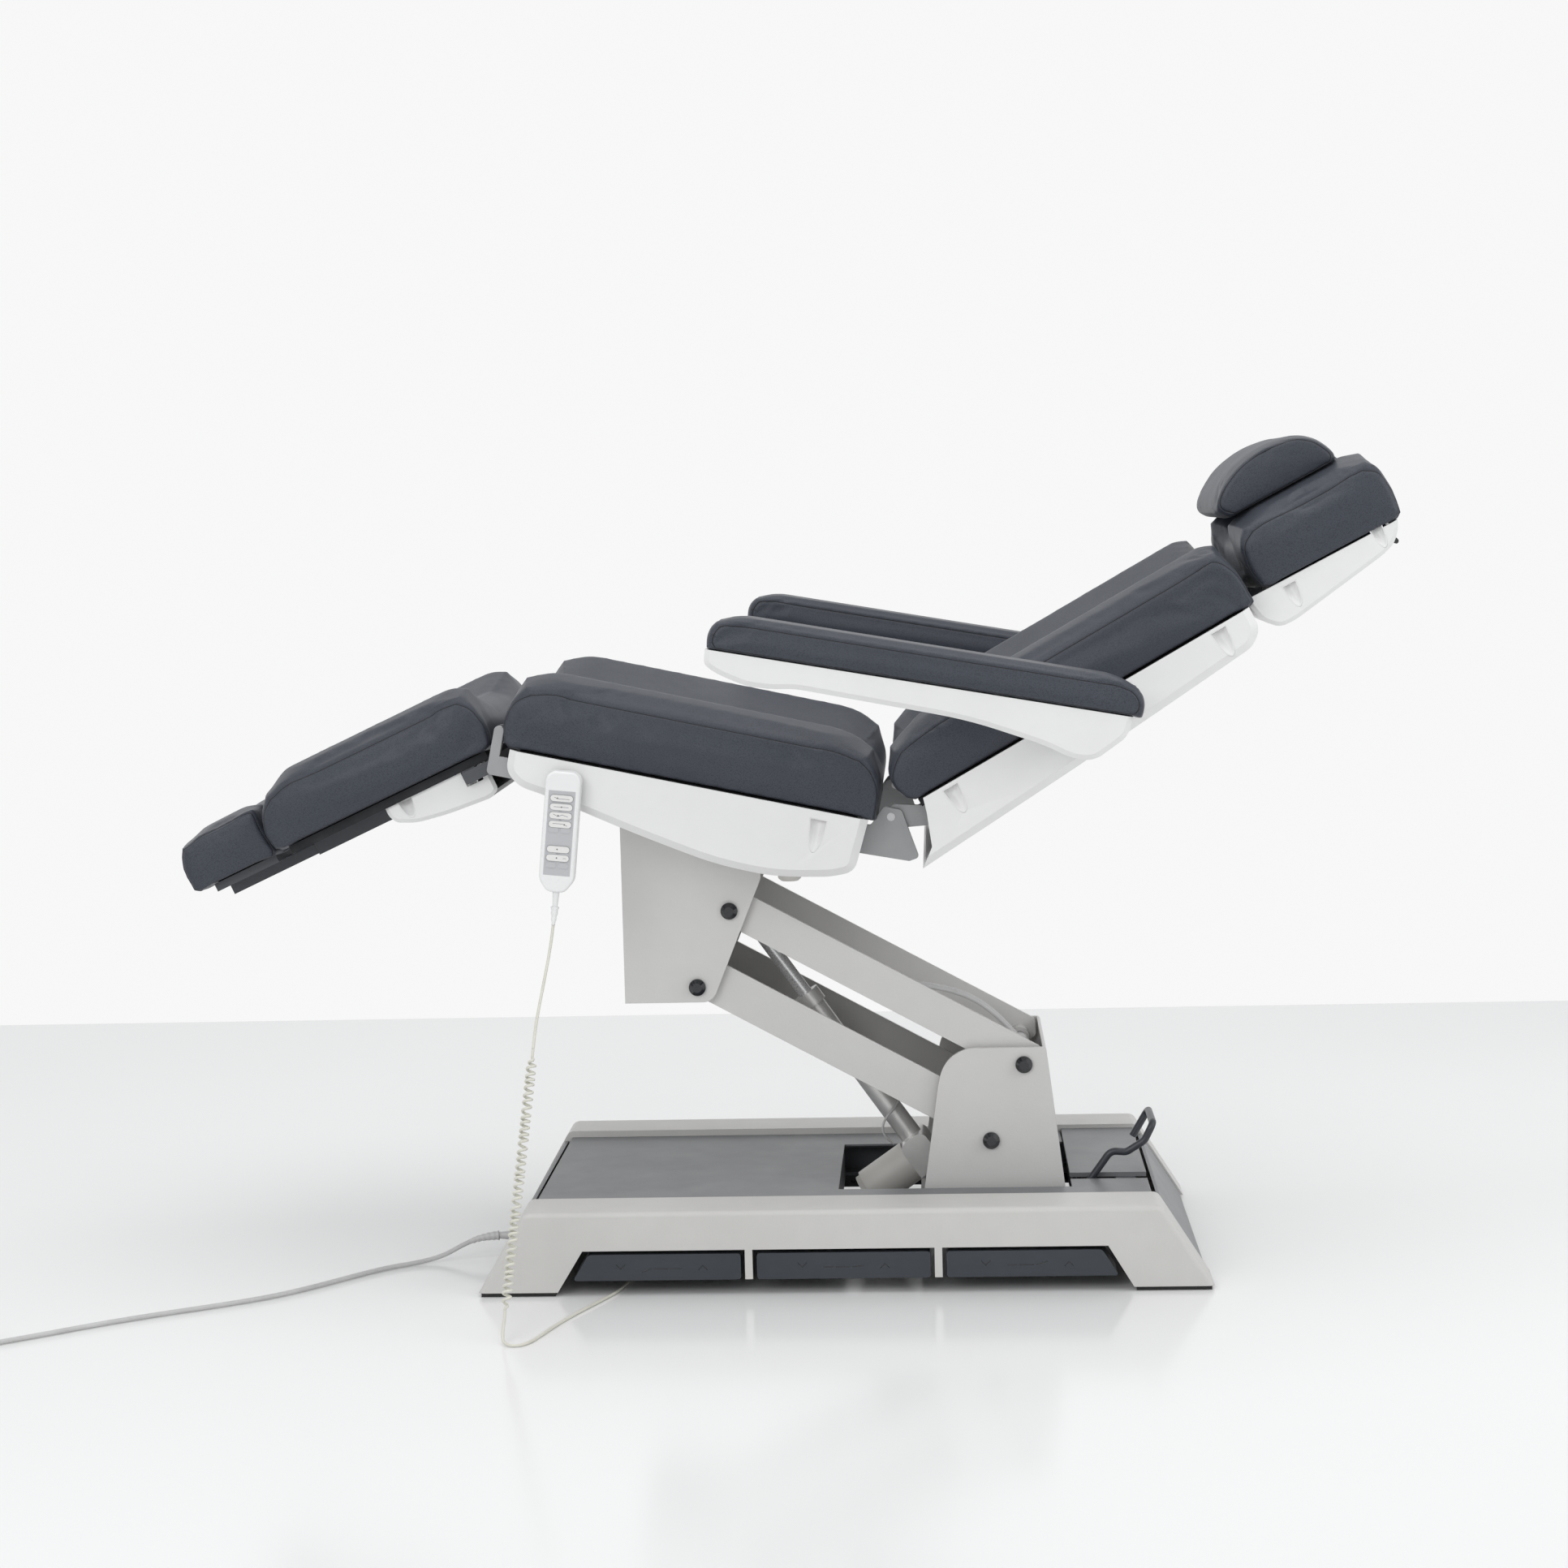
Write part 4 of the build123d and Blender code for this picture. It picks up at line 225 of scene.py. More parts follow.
# Shared effects
def grain_group():
    """Pebbled grain: cells with soft valleys and a finer tooth on them, as a height from 0 to 1."""
    tree, given, out = new_group(
        "pebble_grain",
        [("Place", "NodeSocketVector", None), ("Cells", "NodeSocketFloat", 700.0),
         ("Tooth", "NodeSocketFloat", 0.3)],
        [("Height", "NodeSocketFloat")],
    )
    wide = added(tree, "ShaderNodeTexNoise",
                 {"Vector": given["Place"], "Scale": times(tree, given["Cells"], 0.35), "Detail": 1.0})
    moved = added(tree, "ShaderNodeVectorMath",
                  {0: wide.outputs["Color"], 1: (0.0012, 0.0012, 0.0012), 2: given["Place"]},
                  operation="MULTIPLY_ADD")
    cells = added(tree, "ShaderNodeTexVoronoi", {"Vector": moved.outputs[0], "Scale": given["Cells"]},
                  feature="SMOOTH_F1")
    cells.inputs["Smoothness"].default_value = 0.35
    cells.inputs["Randomness"].default_value = 0.9
    dome = maths(tree, "SUBTRACT", 1.0, cells.outputs["Distance"])
    tooth = noise(tree, given["Place"], times(tree, given["Cells"], 3.1), 1.0)
    fine = times(tree, tooth, given["Tooth"])
    link(tree, plus(tree, dome, fine), out["Height"])
    return tree


def mottle_group():
    """Slow, uneven tone over a surface, from 0 to 1, with a finer tone inside it."""
    tree, given, out = new_group(
        "uneven_tone",
        [("Place", "NodeSocketVector", None), ("Scale", "NodeSocketFloat", 6.0)],
        [("Tone", "NodeSocketFloat")],
    )
    slow = noise(tree, given["Place"], given["Scale"], 3.0, 0.55)
    quick = noise(tree, given["Place"], times(tree, given["Scale"], 9.0), 2.0)
    both = plus(tree, times(tree, slow, 0.75), times(tree, quick, 0.25))
    link(tree, mapped(tree, both, 0.32, 0.68), out["Tone"])
    return tree


def edge_group():
    """Where an outer edge has been rubbed: a broken mask along edges, from the bevelled normal."""
    tree, given, out = new_group(
        "rubbed_edges",
        [("Place", "NodeSocketVector", None), ("Width", "NodeSocketFloat", 0.0012)],
        [("Mask", "NodeSocketFloat"), ("Normal", "NodeSocketVector")],
    )
    bevel = added(tree, "ShaderNodeBevel", {"Radius": given["Width"]}, samples=4)
    surface = added(tree, "ShaderNodeNewGeometry")
    turned = added(tree, "ShaderNodeVectorMath", {0: bevel.outputs["Normal"], 1: surface.outputs["Normal"]},
                   operation="DOT_PRODUCT")
    bend = mapped(tree, turned.outputs["Value"], 0.995, 0.80)
    broken = mapped(tree, noise(tree, given["Place"], 85.0, 4.0, 0.65), 0.42, 0.62)
    link(tree, times(tree, bend, broken, clamp=True), out["Mask"])
    link(tree, bevel.outputs["Normal"], out["Normal"])
    return tree


def dust_group():
    """Fine dust that settles on surfaces facing up, as a mask."""
    tree, given, out = new_group(
        "settled_dust",
        [("Place", "NodeSocketVector", None), ("Amount", "NodeSocketFloat", 0.3)],
        [("Mask", "NodeSocketFloat")],
    )
    surface = added(tree, "ShaderNodeNewGeometry")
    axes = added(tree, "ShaderNodeSeparateXYZ", {0: surface.outputs["Normal"]})
    up = mapped(tree, axes.outputs["Z"], 0.4, 1.0)
    cloud = mapped(tree, noise(tree, given["Place"], 14.0, 5.0, 0.6), 0.35, 0.75)
    specks = mapped(tree, noise(tree, given["Place"], 620.0, 2.0), 0.60, 0.74)
    both = plus(tree, times(tree, cloud, 0.5), times(tree, specks, 0.6))
    laid = times(tree, times(tree, both, up), given["Amount"], clamp=True)
    link(tree, laid, out["Mask"])
    return tree


def seam_group():
    """A sewn seam from a cushion's own distances: the sunk line, its puckers and its stitches."""
    tree, given, out = new_group(
        "sewn_seam",
        [("Across", "NodeSocketFloat", 1.0), ("Along", "NodeSocketFloat", 0.0)],
        [("Line", "NodeSocketFloat"), ("Height", "NodeSocketFloat"), ("Thread", "NodeSocketFloat")],
    )
    away = maths(tree, "ABSOLUTE", given["Across"])
    # Line: the mask of the sunk line, for its bump and, in the upholstery, for the painted shade in it.
    line = mapped(tree, away, 0.0011, 0.0003)
    valley = mapped(tree, away, 0.0060, 0.0)
    rounded = maths(tree, "POWER", valley, 2.0)
    ripple = maths(tree, "SINE", times(tree, given["Along"], 2 * math.pi / 0.0135))
    slow = maths(tree, "SINE", times(tree, given["Along"], 2 * math.pi / 0.083))
    near = mapped(tree, away, 0.012, 0.001)
    pucker = times(tree, times(tree, plus(tree, ripple, slow), near), 0.05)
    beside = maths(tree, "ABSOLUTE", maths(tree, "SUBTRACT", given["Across"], 0.0032))
    step = maths(tree, "FRACT", maths(tree, "DIVIDE", given["Along"], 0.0038))
    dash = maths(tree, "LESS_THAN", step, 0.66)
    thread = times(tree, mapped(tree, beside, 0.0006, 0.0002), dash)
    sunk = plus(tree, times(tree, line, 0.6), times(tree, rounded, 0.7))
    height = maths(tree, "SUBTRACT", pucker, sunk)
    raised = plus(tree, height, times(tree, thread, 0.22))
    link(tree, line, out["Line"])
    link(tree, raised, out["Height"])
    link(tree, thread, out["Thread"])
    return tree


GRAIN, MOTTLE, EDGES, DUST, SEAM = grain_group(), mottle_group(), edge_group(), dust_group(), seam_group()


def placed_group(tree, group, place, **values):
    """A group node reading the given place, with its own values."""
    return added(tree, "ShaderNodeGroup", {"Place": place, **values}, node_tree=group)


def tone_on(tree, place, scale):
    return placed_group(tree, MOTTLE, place, Scale=scale).outputs["Tone"]


def bumped(tree, height, depth, normal=None):
    """A Bump node whose height of 1 stands for depth metres."""
    bump = added(tree, "ShaderNodeBump", {"Height": height, "Distance": depth})
    if normal is not None:
        link(tree, normal, bump.inputs["Normal"])
    return bump.outputs["Normal"]


def blank_material(name, **constants):
    """A material with one Principled shader, its constants on the shader's own sockets."""
    made = bpy.data.materials.new(name)
    made.use_nodes = True
    tree = made.node_tree
    tree.nodes.clear()
    shader = added(tree, "ShaderNodeBsdfPrincipled",
                   {label.replace("_", " "): value for label, value in constants.items()})
    added(tree, "ShaderNodeOutputMaterial", {"Surface": shader.outputs[0]})
    return made, tree, shader, added(tree, "ShaderNodeTexCoord").outputs["Object"]


def dress(tree, shader, colour, rough, normal):
    """Feeds a shader its colour, its roughness and its normal."""
    for label, socket in (("Base Color", colour), ("Roughness", rough), ("Normal", normal)):
        link(tree, socket, shader.inputs[label])


# Materials
def upholstery():
    """Slate-blue coated upholstery with a fine pebble grain, sewn seams with painted shade in their sunk
    lines, and a soft sheen.
    """
    made, tree, shader, place = blank_material(
        "slate_upholstery", IOR=1.45, Sheen_Weight=0.03, Sheen_Roughness=0.4, Coat_Weight=0.04,
        Coat_Roughness=0.38, Specular_IOR_Level=0.36)
    across, along = [added(tree, "ShaderNodeAttribute", attribute_name=label).outputs["Fac"]
                     for label in ("seam_across", "seam_along")]
    seam = added(tree, "ShaderNodeGroup", node_tree=SEAM)
    link(tree, across, seam.inputs["Across"])
    link(tree, along, seam.inputs["Along"])
    tone = tone_on(tree, place, 5.0)
    grain = placed_group(tree, GRAIN, place, Cells=620.0, Tooth=0.35).outputs["Height"]
    base = blended(tree, tone, (0.044, 0.050, 0.064), (0.054, 0.061, 0.077))
    valleys = mapped(tree, grain, 0.45, 0.75)
    grained = blended(tree, valleys, (0.036, 0.041, 0.053), base)
    # The seam's sunk line is painted near black: painted shade in the groove, on top of its bump.
    seam_shaded = blended(tree, seam.outputs["Line"], grained, (0.010, 0.011, 0.014))
    threaded = blended(tree, seam.outputs["Thread"], seam_shaded, (0.030, 0.034, 0.045))
    rough = mapped(tree, tone, 0.0, 1.0, 0.50, 0.42)
    sewn = bumped(tree, seam.outputs["Height"], 0.0011)
    dress(tree, shader, threaded, rough, bumped(tree, grain, 0.00011, sewn))
    return made


def moulded(name, light, dark, rough, texture=1500.0, depth=0.00004, edge=0.0008, dust=0.0, coat=0.0):
    """Moulded plastic: a spark-eroded texture, uneven tone, softened edges and a little dust."""
    made, tree, shader, place = blank_material(name, IOR=1.48, Coat_Weight=coat, Coat_Roughness=0.12)
    tone = tone_on(tree, place, 4.0)
    edges = placed_group(tree, EDGES, place, Width=edge)
    colour = blended(tree, tone, dark, light)
    if dust:
        mask = placed_group(tree, DUST, place, Amount=dust).outputs["Mask"]
        colour = blended(tree, mask, colour, (0.62, 0.60, 0.57))
    fine = noise(tree, place, texture, 2.0)
    wide = noise(tree, place, texture / 9, 2.0)
    skin = plus(tree, fine, times(tree, wide, 0.8))
    dress(tree, shader, colour, mapped(tree, tone, 0.0, 1.0, rough * 1.12, rough * 0.9),
          bumped(tree, skin, depth, edges.outputs["Normal"]))
    return made


def painted(name, light, dark, rough, peel=230.0, depth=0.00007, worn=(0.30, 0.30, 0.30), wear=0.5,
            dust=0.25, metal=0.0):
    """Powder-coated sheet: orange peel with a fine tooth, tone that drifts, rubbed edges and dust."""
    made, tree, shader, place = blank_material(name, IOR=1.5, Metallic=metal)
    tone = tone_on(tree, place, 3.5)
    edges = placed_group(tree, EDGES, place, Width=0.0011)
    colour = blended(tree, tone, dark, light)
    speck = mapped(tree, noise(tree, place, 1900.0, 1.0), 0.56, 0.72)
    colour = blended(tree, times(tree, speck, 0.16), colour, tuple(0.55 * part for part in dark))
    colour = blended(tree, times(tree, edges.outputs["Mask"], wear), colour, worn)
    if dust:
        mask = placed_group(tree, DUST, place, Amount=dust).outputs["Mask"]
        colour = blended(tree, mask, colour, (0.60, 0.585, 0.56))
    skin = placed_group(tree, GRAIN, place, Cells=peel, Tooth=0.5).outputs["Height"]
    dress(tree, shader, colour, mapped(tree, tone, 0.0, 1.0, rough * 1.1, rough * 0.92),
          bumped(tree, skin, depth, edges.outputs["Normal"]))
    return made


def metal(name, light, dark, rough, lines=(1.0, 1.0, 1.0), depth=0.00002, share=1.0):
    """Bare metal: drawn or turned lines along one axis, uneven tone and softened edges."""
    made, tree, shader, place = blank_material(name, Metallic=share)
    tone = tone_on(tree, place, 9.0)
    edges = placed_group(tree, EDGES, place, Width=0.0005)
    spread = added(tree, "ShaderNodeMapping", {"Vector": place, "Scale": lines})
    drawn = noise(tree, spread.outputs[0], 900.0, 2.0)
    dress(tree, shader, blended(tree, tone, dark, light),
          mapped(tree, drawn, 0.3, 0.7, rough * 0.75, rough * 1.25),
          bumped(tree, drawn, depth, edges.outputs["Normal"]))
    return made


def rubber(name, light, dark, rough):
    """Rubber or lining cloth with a fine matt tooth and a little bloom."""
    made, tree, shader, place = blank_material(name, IOR=1.5)
    tone = tone_on(tree, place, 18.0)
    bloom = placed_group(tree, DUST, place, Amount=0.35).outputs["Mask"]
    colour = blended(tree, tone, dark, light)
    dress(tree, shader, blended(tree, bloom, colour, (0.16, 0.16, 0.155)),
          mapped(tree, tone, 0.0, 1.0, rough, rough * 0.85),
          bumped(tree, noise(tree, place, 1300.0, 3.0), 0.00006))
    return made


def sheath(name, light, dark, rough, dust_colour):
    """A cord's smooth sheath, faintly marked by handling and the floor."""
    made, tree, shader, place = blank_material(name, IOR=1.47)
    tone = tone_on(tree, place, 22.0)
    scuffs = mapped(tree, noise(tree, place, 160.0, 4.0, 0.7), 0.55, 0.8)
    colour = blended(tree, tone, dark, light)
    marked = blended(tree, times(tree, scuffs, 0.35), colour, dust_colour)
    dress(tree, shader, marked, mapped(tree, scuffs, 0.0, 1.0, rough, rough * 1.5),
          bumped(tree, noise(tree, place, 700.0, 2.0), 0.00003))
    return made


FINISHES = {
    "upholstery": upholstery(),
    "shell_plastic": moulded("white_shell", (0.83, 0.83, 0.825), (0.79, 0.79, 0.782), 0.34, dust=0.10),
    "lift_paint": painted("arm_powder_coat", (0.655, 0.648, 0.635), (0.615, 0.608, 0.594), 0.44, wear=0.3),
    "base_paint": painted("sill_powder_coat", (0.635, 0.626, 0.608), (0.59, 0.58, 0.562), 0.46, wear=0.35),
    "deck_paint": painted("deck_powder_coat", (0.185, 0.190, 0.198), (0.160, 0.165, 0.173), 0.40, peel=420.0,
                          depth=0.00006, wear=0.5, dust=0.10),
    "chassis_paint": painted("chassis_paint", (0.075, 0.080, 0.090), (0.055, 0.060, 0.068), 0.48, dust=0.4),
    "pedal_plastic": moulded("pedal_moulding", (0.040, 0.047, 0.058), (0.030, 0.036, 0.046), 0.42,
                             texture=900.0, depth=0.00006, dust=0.12),
    "black_plastic": moulded("black_gloss", (0.013, 0.014, 0.018), (0.009, 0.010, 0.013), 0.22,
                             texture=500.0, depth=0.00001, coat=0.4, dust=0.05),
    "pad_rubber": rubber("foot_rubber", (0.024, 0.024, 0.024), (0.014, 0.014, 0.014), 0.78),
    "pin_steel": metal("zinc_steel", (0.56, 0.56, 0.57), (0.42, 0.42, 0.43), 0.32),
    "rod_steel": metal("ground_steel", (0.88, 0.88, 0.89), (0.80, 0.80, 0.81), 0.30, depth=0.00001,
                       share=0.6),
    "tube_aluminium": metal("satin_aluminium", (0.80, 0.795, 0.785), (0.71, 0.705, 0.695), 0.38,
                            (0.3, 1.0, 1.0), share=0.55),
    "motor_plastic": moulded("motor_housing", (0.60, 0.585, 0.555), (0.53, 0.515, 0.485), 0.46,
                             texture=1100.0, depth=0.00005, dust=0.25),
    "frame_paint": painted("frame_paint", (0.36, 0.365, 0.37), (0.29, 0.295, 0.30), 0.36, peel=500.0,
                           wear=0.6, worn=(0.55, 0.55, 0.55), metal=0.35),
    "plywood": rubber("lining_cloth", (0.020, 0.021, 0.024), (0.012, 0.013, 0.016), 0.85),
    "handset_plastic": moulded("handset_white", (0.86, 0.86, 0.86), (0.83, 0.83, 0.828), 0.28,
                               texture=1200.0, depth=0.00002, coat=0.15),
    "keypad": moulded("keypad_grey", (0.52, 0.525, 0.54), (0.48, 0.485, 0.50), 0.42, texture=1600.0,
                      depth=0.00002, edge=0.0003),
    "lead_sheath": sheath("cream_sheath", (0.74, 0.73, 0.655), (0.66, 0.65, 0.57), 0.36, (0.50, 0.48, 0.42)),
    "mains_sheath": sheath("grey_sheath", (0.58, 0.58, 0.575), (0.50, 0.50, 0.495), 0.38,
                           (0.34, 0.33, 0.32)),
    "cord_plastic": moulded("cord_fitting", (0.60, 0.60, 0.59), (0.54, 0.54, 0.53), 0.40, texture=1300.0),
    "lever_paint": painted("lever_black", (0.034, 0.038, 0.047), (0.024, 0.027, 0.034), 0.34, peel=600.0,
                           wear=0.6, worn=(0.22, 0.22, 0.23), dust=0.08),
    "key_face": moulded("key_face", (0.80, 0.795, 0.78), (0.77, 0.765, 0.75), 0.38, texture=1600.0,
                        depth=0.00001, edge=0.0001),
    "key_print": moulded("key_print", (0.17, 0.17, 0.17), (0.15, 0.15, 0.15), 0.5, texture=1600.0,
                         depth=0.00001, edge=0.0001),
    "castor_tread": rubber("castor_rubber", (0.055, 0.055, 0.058), (0.038, 0.038, 0.041), 0.6),
}
DARK_FRAMES = ("leg_frame", "foot_frame", "head_frame")


def finish_cad_nodes():
    """Every carried-over CAD node takes the material of its slot in the record, but three frames go dark."""
    for sub_part in frame["record"]["subparts"]:
        node = frame["nodes"][sub_part["node"]]
        node.data.materials.clear()
        finish = "chassis_paint" if sub_part["node"] in DARK_FRAMES else sub_part["material_slot"]
        node.data.materials.append(FINISHES[finish])


# Mesh helpers
def in_scene(name, data):
    """A new object in the scene with the given mesh, curve, lamp or camera."""
    piece = bpy.data.objects.new(name, data)
    bpy.context.scene.collection.objects.link(piece)
    return piece


def finished(name, mesh, slot, body, smooth=True):
    """The piece made of a mesh: linked, given its slot's material and set riding on its body."""
    piece = in_scene(name, mesh)
    mesh.materials.clear()
    mesh.materials.append(FINISHES[slot])
    mesh.polygons.foreach_set("use_smooth", [smooth] * len(mesh.polygons))
    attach(piece, body)
    return piece


def mesh_of(name, shape):
    """The mesh of a built shape, with its faces turned out; the shape is used up."""
    mesh = bpy.data.meshes.new(name)
    bmesh.ops.recalc_face_normals(shape, faces=shape.faces[:])
    shape.to_mesh(mesh)
    shape.free()
    return mesh


def from_bmesh(name, shape, slot, body, smooth=True):
    return finished(name, mesh_of(name, shape), slot, body, smooth)


def welded_copy(node):
    """A copy of a CAD node's mesh with its faces joined at their shared corners."""
    mesh = frame["nodes"][node].data.copy()
    shape = bmesh.new()
    shape.from_mesh(mesh)
    bmesh.ops.remove_doubles(shape, verts=shape.verts, dist=WELD)
    shape.to_mesh(mesh)
    shape.free()
    return mesh


def baked(piece):
    """The piece's mesh with its modifiers applied, as a new mesh."""
    return bpy.data.meshes.new_from_object(piece.evaluated_get(bpy.context.evaluated_depsgraph_get()))


def places_of(mesh):
    out = np.empty(len(mesh.vertices) * 3, np.float64)
    mesh.vertices.foreach_get("co", out)
    return out.reshape(-1, 3)


def set_places(mesh, places):
    mesh.vertices.foreach_set("co", places.astype(np.float32).ravel())
    mesh.update()


def in_section(places, origin, slope):
    """Places of the chair as along, side and rise in a section's own frame."""
    level, down = math.cos(math.radians(slope)), math.sin(math.radians(slope))
    x, y, z = places[:, 0] - origin[0], places[:, 1], places[:, 2] - origin[1]
    return np.stack([x * level - z * down, y, x * down + z * level], 1)


def from_section(local, origin, slope):
    """Places in a section's own frame as places of the chair."""
    level, down = math.cos(math.radians(slope)), math.sin(math.radians(slope))
    along, side, rise = local[:, 0], local[:, 1], local[:, 2]
    x, z = along * level + rise * down, rise * level - along * down
    return np.stack([origin[0] + x, side, origin[1] + z], 1)


def ringed(shape, line, radii, sides=16):
    """A closed tube of changing radius along a line of places."""
    line = [Vector(place) for place in line]
    rings, across = [], None
    for number, (place, radius) in enumerate(zip(line, radii)):
        ahead = (line[min(number + 1, len(line) - 1)] - line[max(number - 1, 0)]).normalized()
        across = ahead.orthogonal() if across is None else across - ahead * across.dot(ahead)
        across.normalize()
        third = ahead.cross(across)
        turns = [2 * math.pi * side / sides for side in range(sides)]
        rings.append([shape.verts.new(place + across * radius * math.cos(turn)
                                      + third * radius * math.sin(turn)) for turn in turns])
    for first, second in zip(rings, rings[1:]):
        for side in range(sides):
            after = (side + 1) % sides
            shape.faces.new((first[side], first[after], second[after], second[side]))
    shape.faces.new(rings[0][::-1])
    shape.faces.new(rings[-1])


def prism(shape, corners, depth, face):
    """A closed plate: corners in X and Z, from face to face + depth along Y."""
    ends = [[shape.verts.new((x, y, z)) for x, z in corners] for y in (face, face + depth)]
    shape.faces.new(ends[0])
    shape.faces.new(ends[1][::-1])
    for number in range(len(corners)):
        after = (number + 1) % len(corners)
        shape.faces.new((ends[0][number], ends[1][number], ends[1][after], ends[0][after]))


def frame_prism(shape, outer, inner, depth, face):
    """A closed rim between two outlines with as many corners."""
    count = len(outer)
    rings = [[shape.verts.new((x, y, z)) for x, z in loop]
             for y in (face, face + depth) for loop in (outer, inner)]
    for number in range(count):
        after = (number + 1) % count
        for first, second in ((0, 1), (1, 3), (3, 2), (2, 0)):
            one, other = rings[first], rings[second]
            shape.faces.new((one[number], one[after], other[after], other[number]))


def pill(middle, height, half_length, radius, steps=8):
    """The outline of a key: a bar with round ends."""
    corners = []
    for way, start in ((1, -90), (-1, 90)):
        for step in range(steps + 1):
            turn = math.radians(start + 180 * step / steps)
            corners.append((middle + way * (half_length - radius) + radius * math.cos(turn),
                            height + radius * math.sin(turn)))
    return corners


def bar(start, end, stroke):
    """The outline of a straight stroke between two places."""
    start, end = Vector(start), Vector(end)
    side = (end - start).normalized().orthogonal() * stroke / 2
    return [tuple(corner) for corner in (start - side, end - side, end + side, start + side)]


# Cushions
def side_outline(local, middle, half):
    """The corners of a cushion's side panel, in order round it, from the CAD solid's end face."""
    ends = local[np.abs(np.abs(local[:, 1] - middle) - half) < 0.0006][:, [0, 2]]
    ends = np.unique(np.round(ends, 5), axis=0)
    centre = (ends.min(0) + ends.max(0)) / 2
    turn = np.arctan2(ends[:, 1] - centre[1], ends[:, 0] - centre[0])
    return ends[np.argsort(turn)]


def seam_distances(local, corners, middle, half):
    """How far each point lies from the side panel's edge, and how far round it."""
    starts, ends = corners, np.roll(corners, -1, axis=0)
    runs = ends - starts
    lengths = np.linalg.norm(runs, axis=1)
    before = np.concatenate([[0], np.cumsum(lengths)[:-1]])
    flat = local[:, [0, 2]]
    best, round_it = np.full(len(flat), 1e9), np.zeros(len(flat))
    inside = np.zeros(len(flat), bool)
    for start, end, run, length, so_far in zip(starts, ends, runs, lengths, before):
        if length < 1e-9:
            continue
        share = np.clip(((flat - start) @ run) / length**2, 0, 1)
        away = np.linalg.norm(flat - start - share[:, None] * run, axis=1)
        nearer = away < best
        best = np.where(nearer, away, best)
        round_it = np.where(nearer, so_far + share * length, round_it)
        crosses = (start[1] > flat[:, 1]) != (end[1] > flat[:, 1])
        if crosses.any():
            at = start[0] + (flat[:, 1] - start[1]) * run[0] / (run[1] if run[1] else 1e-12)
            inside ^= crosses & (flat[:, 0] < at)
    depth = np.where(inside, best, -best)
    return (half - np.abs(local[:, 1] - middle)) - depth, round_it


def stuffed(name, node, cell, cap, tuck, soften):
    """A cushion's cover: the CAD form remeshed, drawn in by tuck, then blown out by its stuffing."""
    cover = in_scene(name, welded_copy(node))
    remesh = cover.modifiers.new("even_cells", "REMESH")
    remesh.mode = "VOXEL"
    remesh.voxel_size = cell
    relax = cover.modifiers.new("relax", "SMOOTH")
    relax.factor = 0.5
    relax.iterations = soften
    bpy.context.view_layer.update()
    form = baked(cover)
    cover.modifiers.clear()
    cover.data = form
    form.update()
    normals = np.empty(len(form.vertices) * 3)
    form.vertices.foreach_get("normal", normals)
    set_places(form, places_of(form) - normals.reshape(-1, 3) * tuck)
    blow_out(cover, cap)
    return cover


def blow_out(cover, cap):
    """Cloth under the stuffing's pressure, with the underside held where it is glued to its board."""
    form = cover.data
    start = places_of(form)
    held = cover.vertex_groups.new(name="held")
    normals = np.empty(len(form.vertices) * 3)
    form.vertices.foreach_get("normal", normals)
    under = np.nonzero(normals.reshape(-1, 3)[:, 2] < GLUED_BELOW)[0]
    held.add([int(index) for index in under], 1.0, "REPLACE")
    cloth = cover.modifiers.new("stuffing", "CLOTH")
    cloth.settings.quality = 4
    cloth.settings.use_pressure = True
    cloth.settings.uniform_pressure_force = STUFF_PRESSURE
    cloth.settings.effector_weights.gravity = 0
    cloth.settings.vertex_group_mass = "held"
    cloth.collision_settings.use_collision = False
    cloth.point_cache.frame_start = 1
    cloth.point_cache.frame_end = STUFF_FRAMES
    for number in range(1, STUFF_FRAMES + 1):
        bpy.context.scene.frame_set(number)
    blown = places_of(baked(cover))
    cover.modifiers.clear()
    cover.vertex_groups.clear()
    moved = blown - start
    reach = np.linalg.norm(moved, axis=1, keepdims=True)
    set_places(form, start + moved * np.minimum(1, cap / np.maximum(reach, 1e-9)))
    bpy.context.scene.frame_set(1)


def squared(local, low, high, plane, radius, share):
    """Draws the round corners of a form out towards square ones, in one plane of its section."""
    for ways in ((-1, -1), (-1, 1), (1, -1), (1, 1)):
        steps = []
        for axis, way in zip(plane, ways):
            inner = high[axis] - radius if way > 0 else low[axis] + radius
            steps.append(np.maximum(way * (local[:, axis] - inner) / radius, 0))
        both = (steps[0] > 0) & (steps[1] > 0)
        longest = np.maximum(np.maximum(*steps), 1e-6)
        grown = np.where(both, share * (np.hypot(*steps) / longest - 1), 0)
        for axis, way, step in zip(plane, ways, steps):
            local[:, axis] += way * radius * step * grown
    return local


def filled_out(local, cad, growth, corner, shoulder):
    """A cover stretched to its cushion's full size, plus its growth at each end, with crisp corners."""
    low, high = cad.min(0) - np.array(growth[0]), cad.max(0) + np.array(growth[1])
    small, large = local.min(0), local.max(0)
    full = low + (local - small) * (high - low) / (large - small)
    full = squared(full, low, high, (0, 2), *corner)
    return squared(full, low, high, (1, 2), *shoulder)


